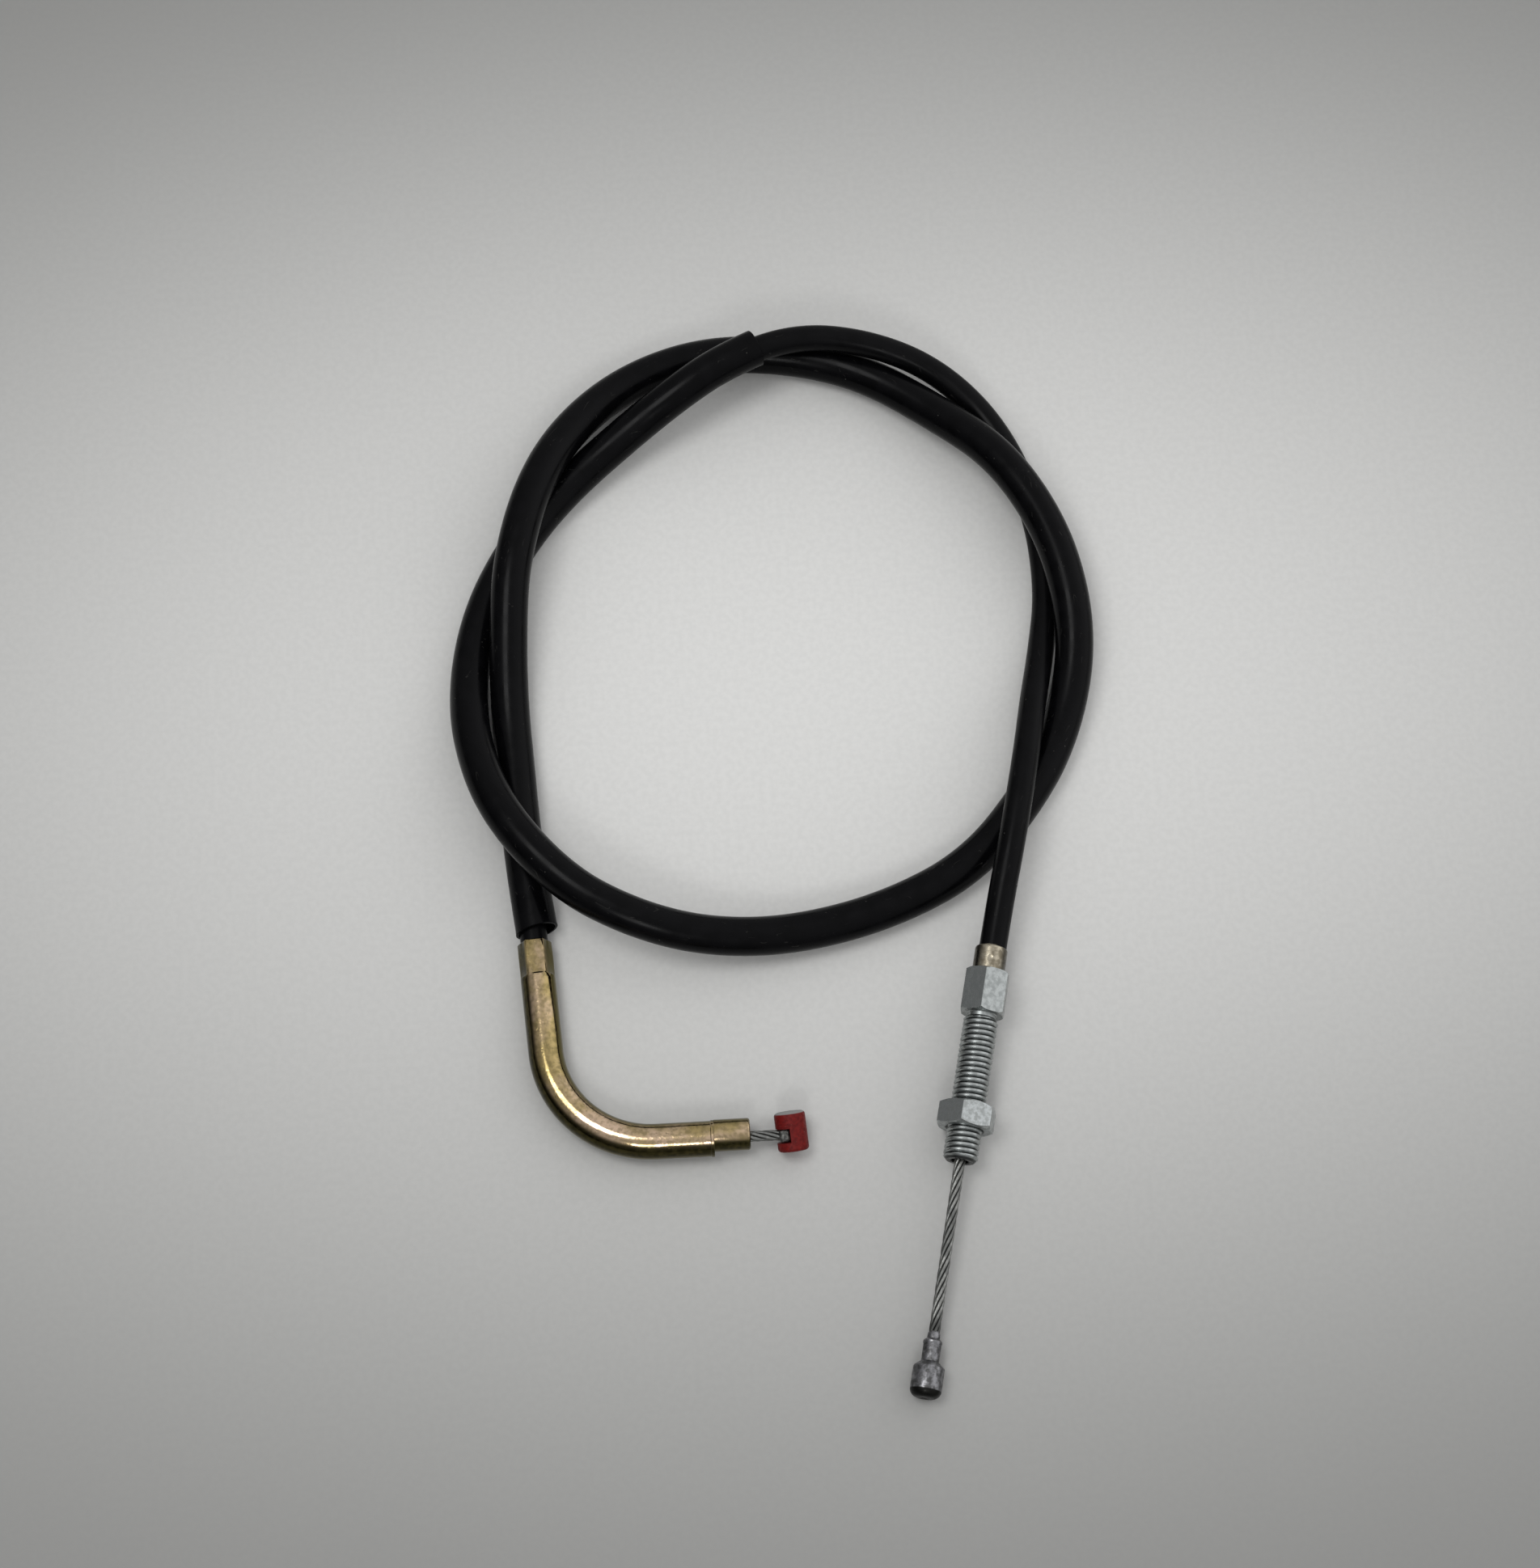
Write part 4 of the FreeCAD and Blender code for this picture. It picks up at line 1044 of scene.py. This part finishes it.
def helical(place, start, end, near_rim, far_rim, columns=80):
    """The skin of a right-hand thread, whose rows climb a pitch each turn and join at the seam."""
    angles = evenly(columns)
    profile = []
    for turn in range(-2, int((end - start) / PITCH) + 3):
        for share, depth in THREAD_FORM:
            z = start + PITCH * (turn + share + angles / (2 * math.pi))
            held = np.clip(z, start, end)
            radius = np.minimum(THREAD_RADIUS + depth, near_rim + (held - start))
            profile.append((held, np.minimum(radius, far_rim + (end - held))))
    rows, owns = turned(place, profile, angles)
    count = len(rows)
    faces = []
    for i in range(count - 1):
        for j in range(columns):
            n = (j + 1) % columns
            up = len(THREAD_FORM) if n == 0 else 0
            if i + 1 + up < count:
                corners = ((i, j), (i + up, n), (i + 1 + up, n), (i + 1, j))
                faces.append([row * columns + column for row, column in corners])
    return rows, owns, faces


rows, owns, faces = helical(adjuster_place, neck_end, thread_end, NECK_RADIUS, core_radius)
print("thread rows:", len(rows))


def with_thread(target):
    """Adds the thread's skin to the adjuster's mesh."""
    form = bmesh.new()
    form.from_mesh(target.data)
    layer = form.verts.layers.float_vector["own_place"]
    skin = []
    for place, own in zip(rows.reshape(-1, 3), owns.reshape(-1, 3)):
        vertex = form.verts.new(place * MM)
        vertex[layer] = Vector(own)
        skin.append(vertex)
    for face in faces:
        form.faces.new([skin[k] for k in face])
    bmesh.ops.remove_doubles(form, verts=skin, dist=2e-6)
    skin = [v for v in skin if v.is_valid]
    bmesh.ops.dissolve_degenerate(form, edges=list({e for v in skin for e in v.link_edges}), dist=1e-6)
    form.to_mesh(target.data)
    form.free()


adjuster = piece(
    "threaded_adjuster", [hexagon_shell], "adjuster", adjuster_finish, ["adjuster_body"],
    sharp=12,
)
with_thread(adjuster)
adjuster.data.shade_smooth()
adjuster.data.set_sharp_from_angle(angle=math.radians(12))
print("adjuster:", len(adjuster.data.polygons), "faces")
profile = [(thread_end - 0.3, core_radius - 0.1), (thread_end, core_radius)]
profile += [(thread_end, ADJUSTER_BORE + 0.2), (thread_end - 0.2, ADJUSTER_BORE)]
profile += [(core_start, ADJUSTER_BORE), (core_start, core_radius - 0.1)]
core_shell = (turned(adjuster_place, profile, evenly(64)), True)
piece("adjuster_core", [core_shell], "adjuster", adjuster_finish)

# %% The lock nut
NUT_FLATS, NUT_LENGTH, NUT_ROLL = 12.0, 5.6, 9.3
NUT_CHAMFER_RIM, NUT_CHAMFER_SLOPE, NUT_CORNER_ROUND = 5.85, 0.62, 0.18
NUT_FROM_HEX, NUT_BORE = 21.4, 4.0
nut_place = on_arm(CAP_SHOWN + HEX_LENGTH + NUT_FROM_HEX, NUT_ROLL)
sides, angles = hexagon_sides(NUT_FLATS, NUT_LENGTH, NUT_CHAMFER_RIM, NUT_CHAMFER_SLOPE, NUT_CORNER_ROUND)
profile = sides + [(NUT_LENGTH, NUT_BORE + 0.4), (NUT_LENGTH - 0.4, NUT_BORE)]
profile += [(0.4, NUT_BORE), (0.0, NUT_BORE + 0.4)]
nut_shell = (turned(nut_place, profile, angles), True)
piece("hexagon_nut", [nut_shell], "nut", nut_finish, ["lock_nut"], sharp=12)

# %% The arm's wire and its nipple
ARM_FREE, ARM_STUB = 41.1, 25.0
NIPPLE_NECK_RADIUS, NIPPLE_NECK_LENGTH = 2.0, 4.6
NIPPLE_RADIUS, NIPPLE_LENGTH, NIPPLE_SHOULDER, NIPPLE_CHAMFER = 3.5, 7.8, 1.0, 1.9
thread_far = CAP_SHOWN + thread_end
nipple_end = NIPPLE_NECK_LENGTH + NIPPLE_LENGTH
shoulder_end = NIPPLE_NECK_LENGTH + NIPPLE_SHOULDER
arm_shells = strands(on_arm(thread_far - ARM_STUB), 0.0, ARM_STUB + ARM_FREE + nipple_end - 1.0)
piece("arm_rope", arm_shells, "arm_end", rope_finish, ["arm_wire"])
# A collar of solder where the wire goes in, then the neck, the shoulder and the rounded end
profile = [(-2.4, 1.1), (-1.9, 1.4), (-1.1, 1.44), (-0.75, 1.36), (-0.6, 1.75), (-0.2, 2.1), (0.3, 2.12)]
profile += [(0.5, 2.0), (NIPPLE_NECK_LENGTH - 0.3, NIPPLE_NECK_RADIUS)]
profile += [(NIPPLE_NECK_LENGTH, NIPPLE_NECK_RADIUS + 0.35)]
profile += [(NIPPLE_NECK_LENGTH + 0.1, NIPPLE_RADIUS - NIPPLE_SHOULDER)]
profile += [(shoulder_end - 0.1, NIPPLE_RADIUS - 0.1), (shoulder_end + 0.15, NIPPLE_RADIUS)]
profile += [(nipple_end - NIPPLE_CHAMFER - 0.15, NIPPLE_RADIUS)]
profile += quarter(nipple_end, NIPPLE_RADIUS, NIPPLE_CHAMFER, 6)
profile += [(nipple_end - 0.05, 1.0), (nipple_end - 0.15, 0.3)]
nipple_shell = (turned(on_arm(thread_far + ARM_FREE), profile, evenly(72)), False)
piece("turned_nipple", [nipple_shell], "arm_end", nipple_finish, ["arm_nipple"])

# %% [markdown]
# ## Measuring the result
#
# The dressed cable must keep the measured size, so both boxes are written down.

# %% Sizes
seen_box = [list(corner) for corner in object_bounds()]
print("visual box, metres:", [[round(x, 4) for x in corner] for corner in seen_box])
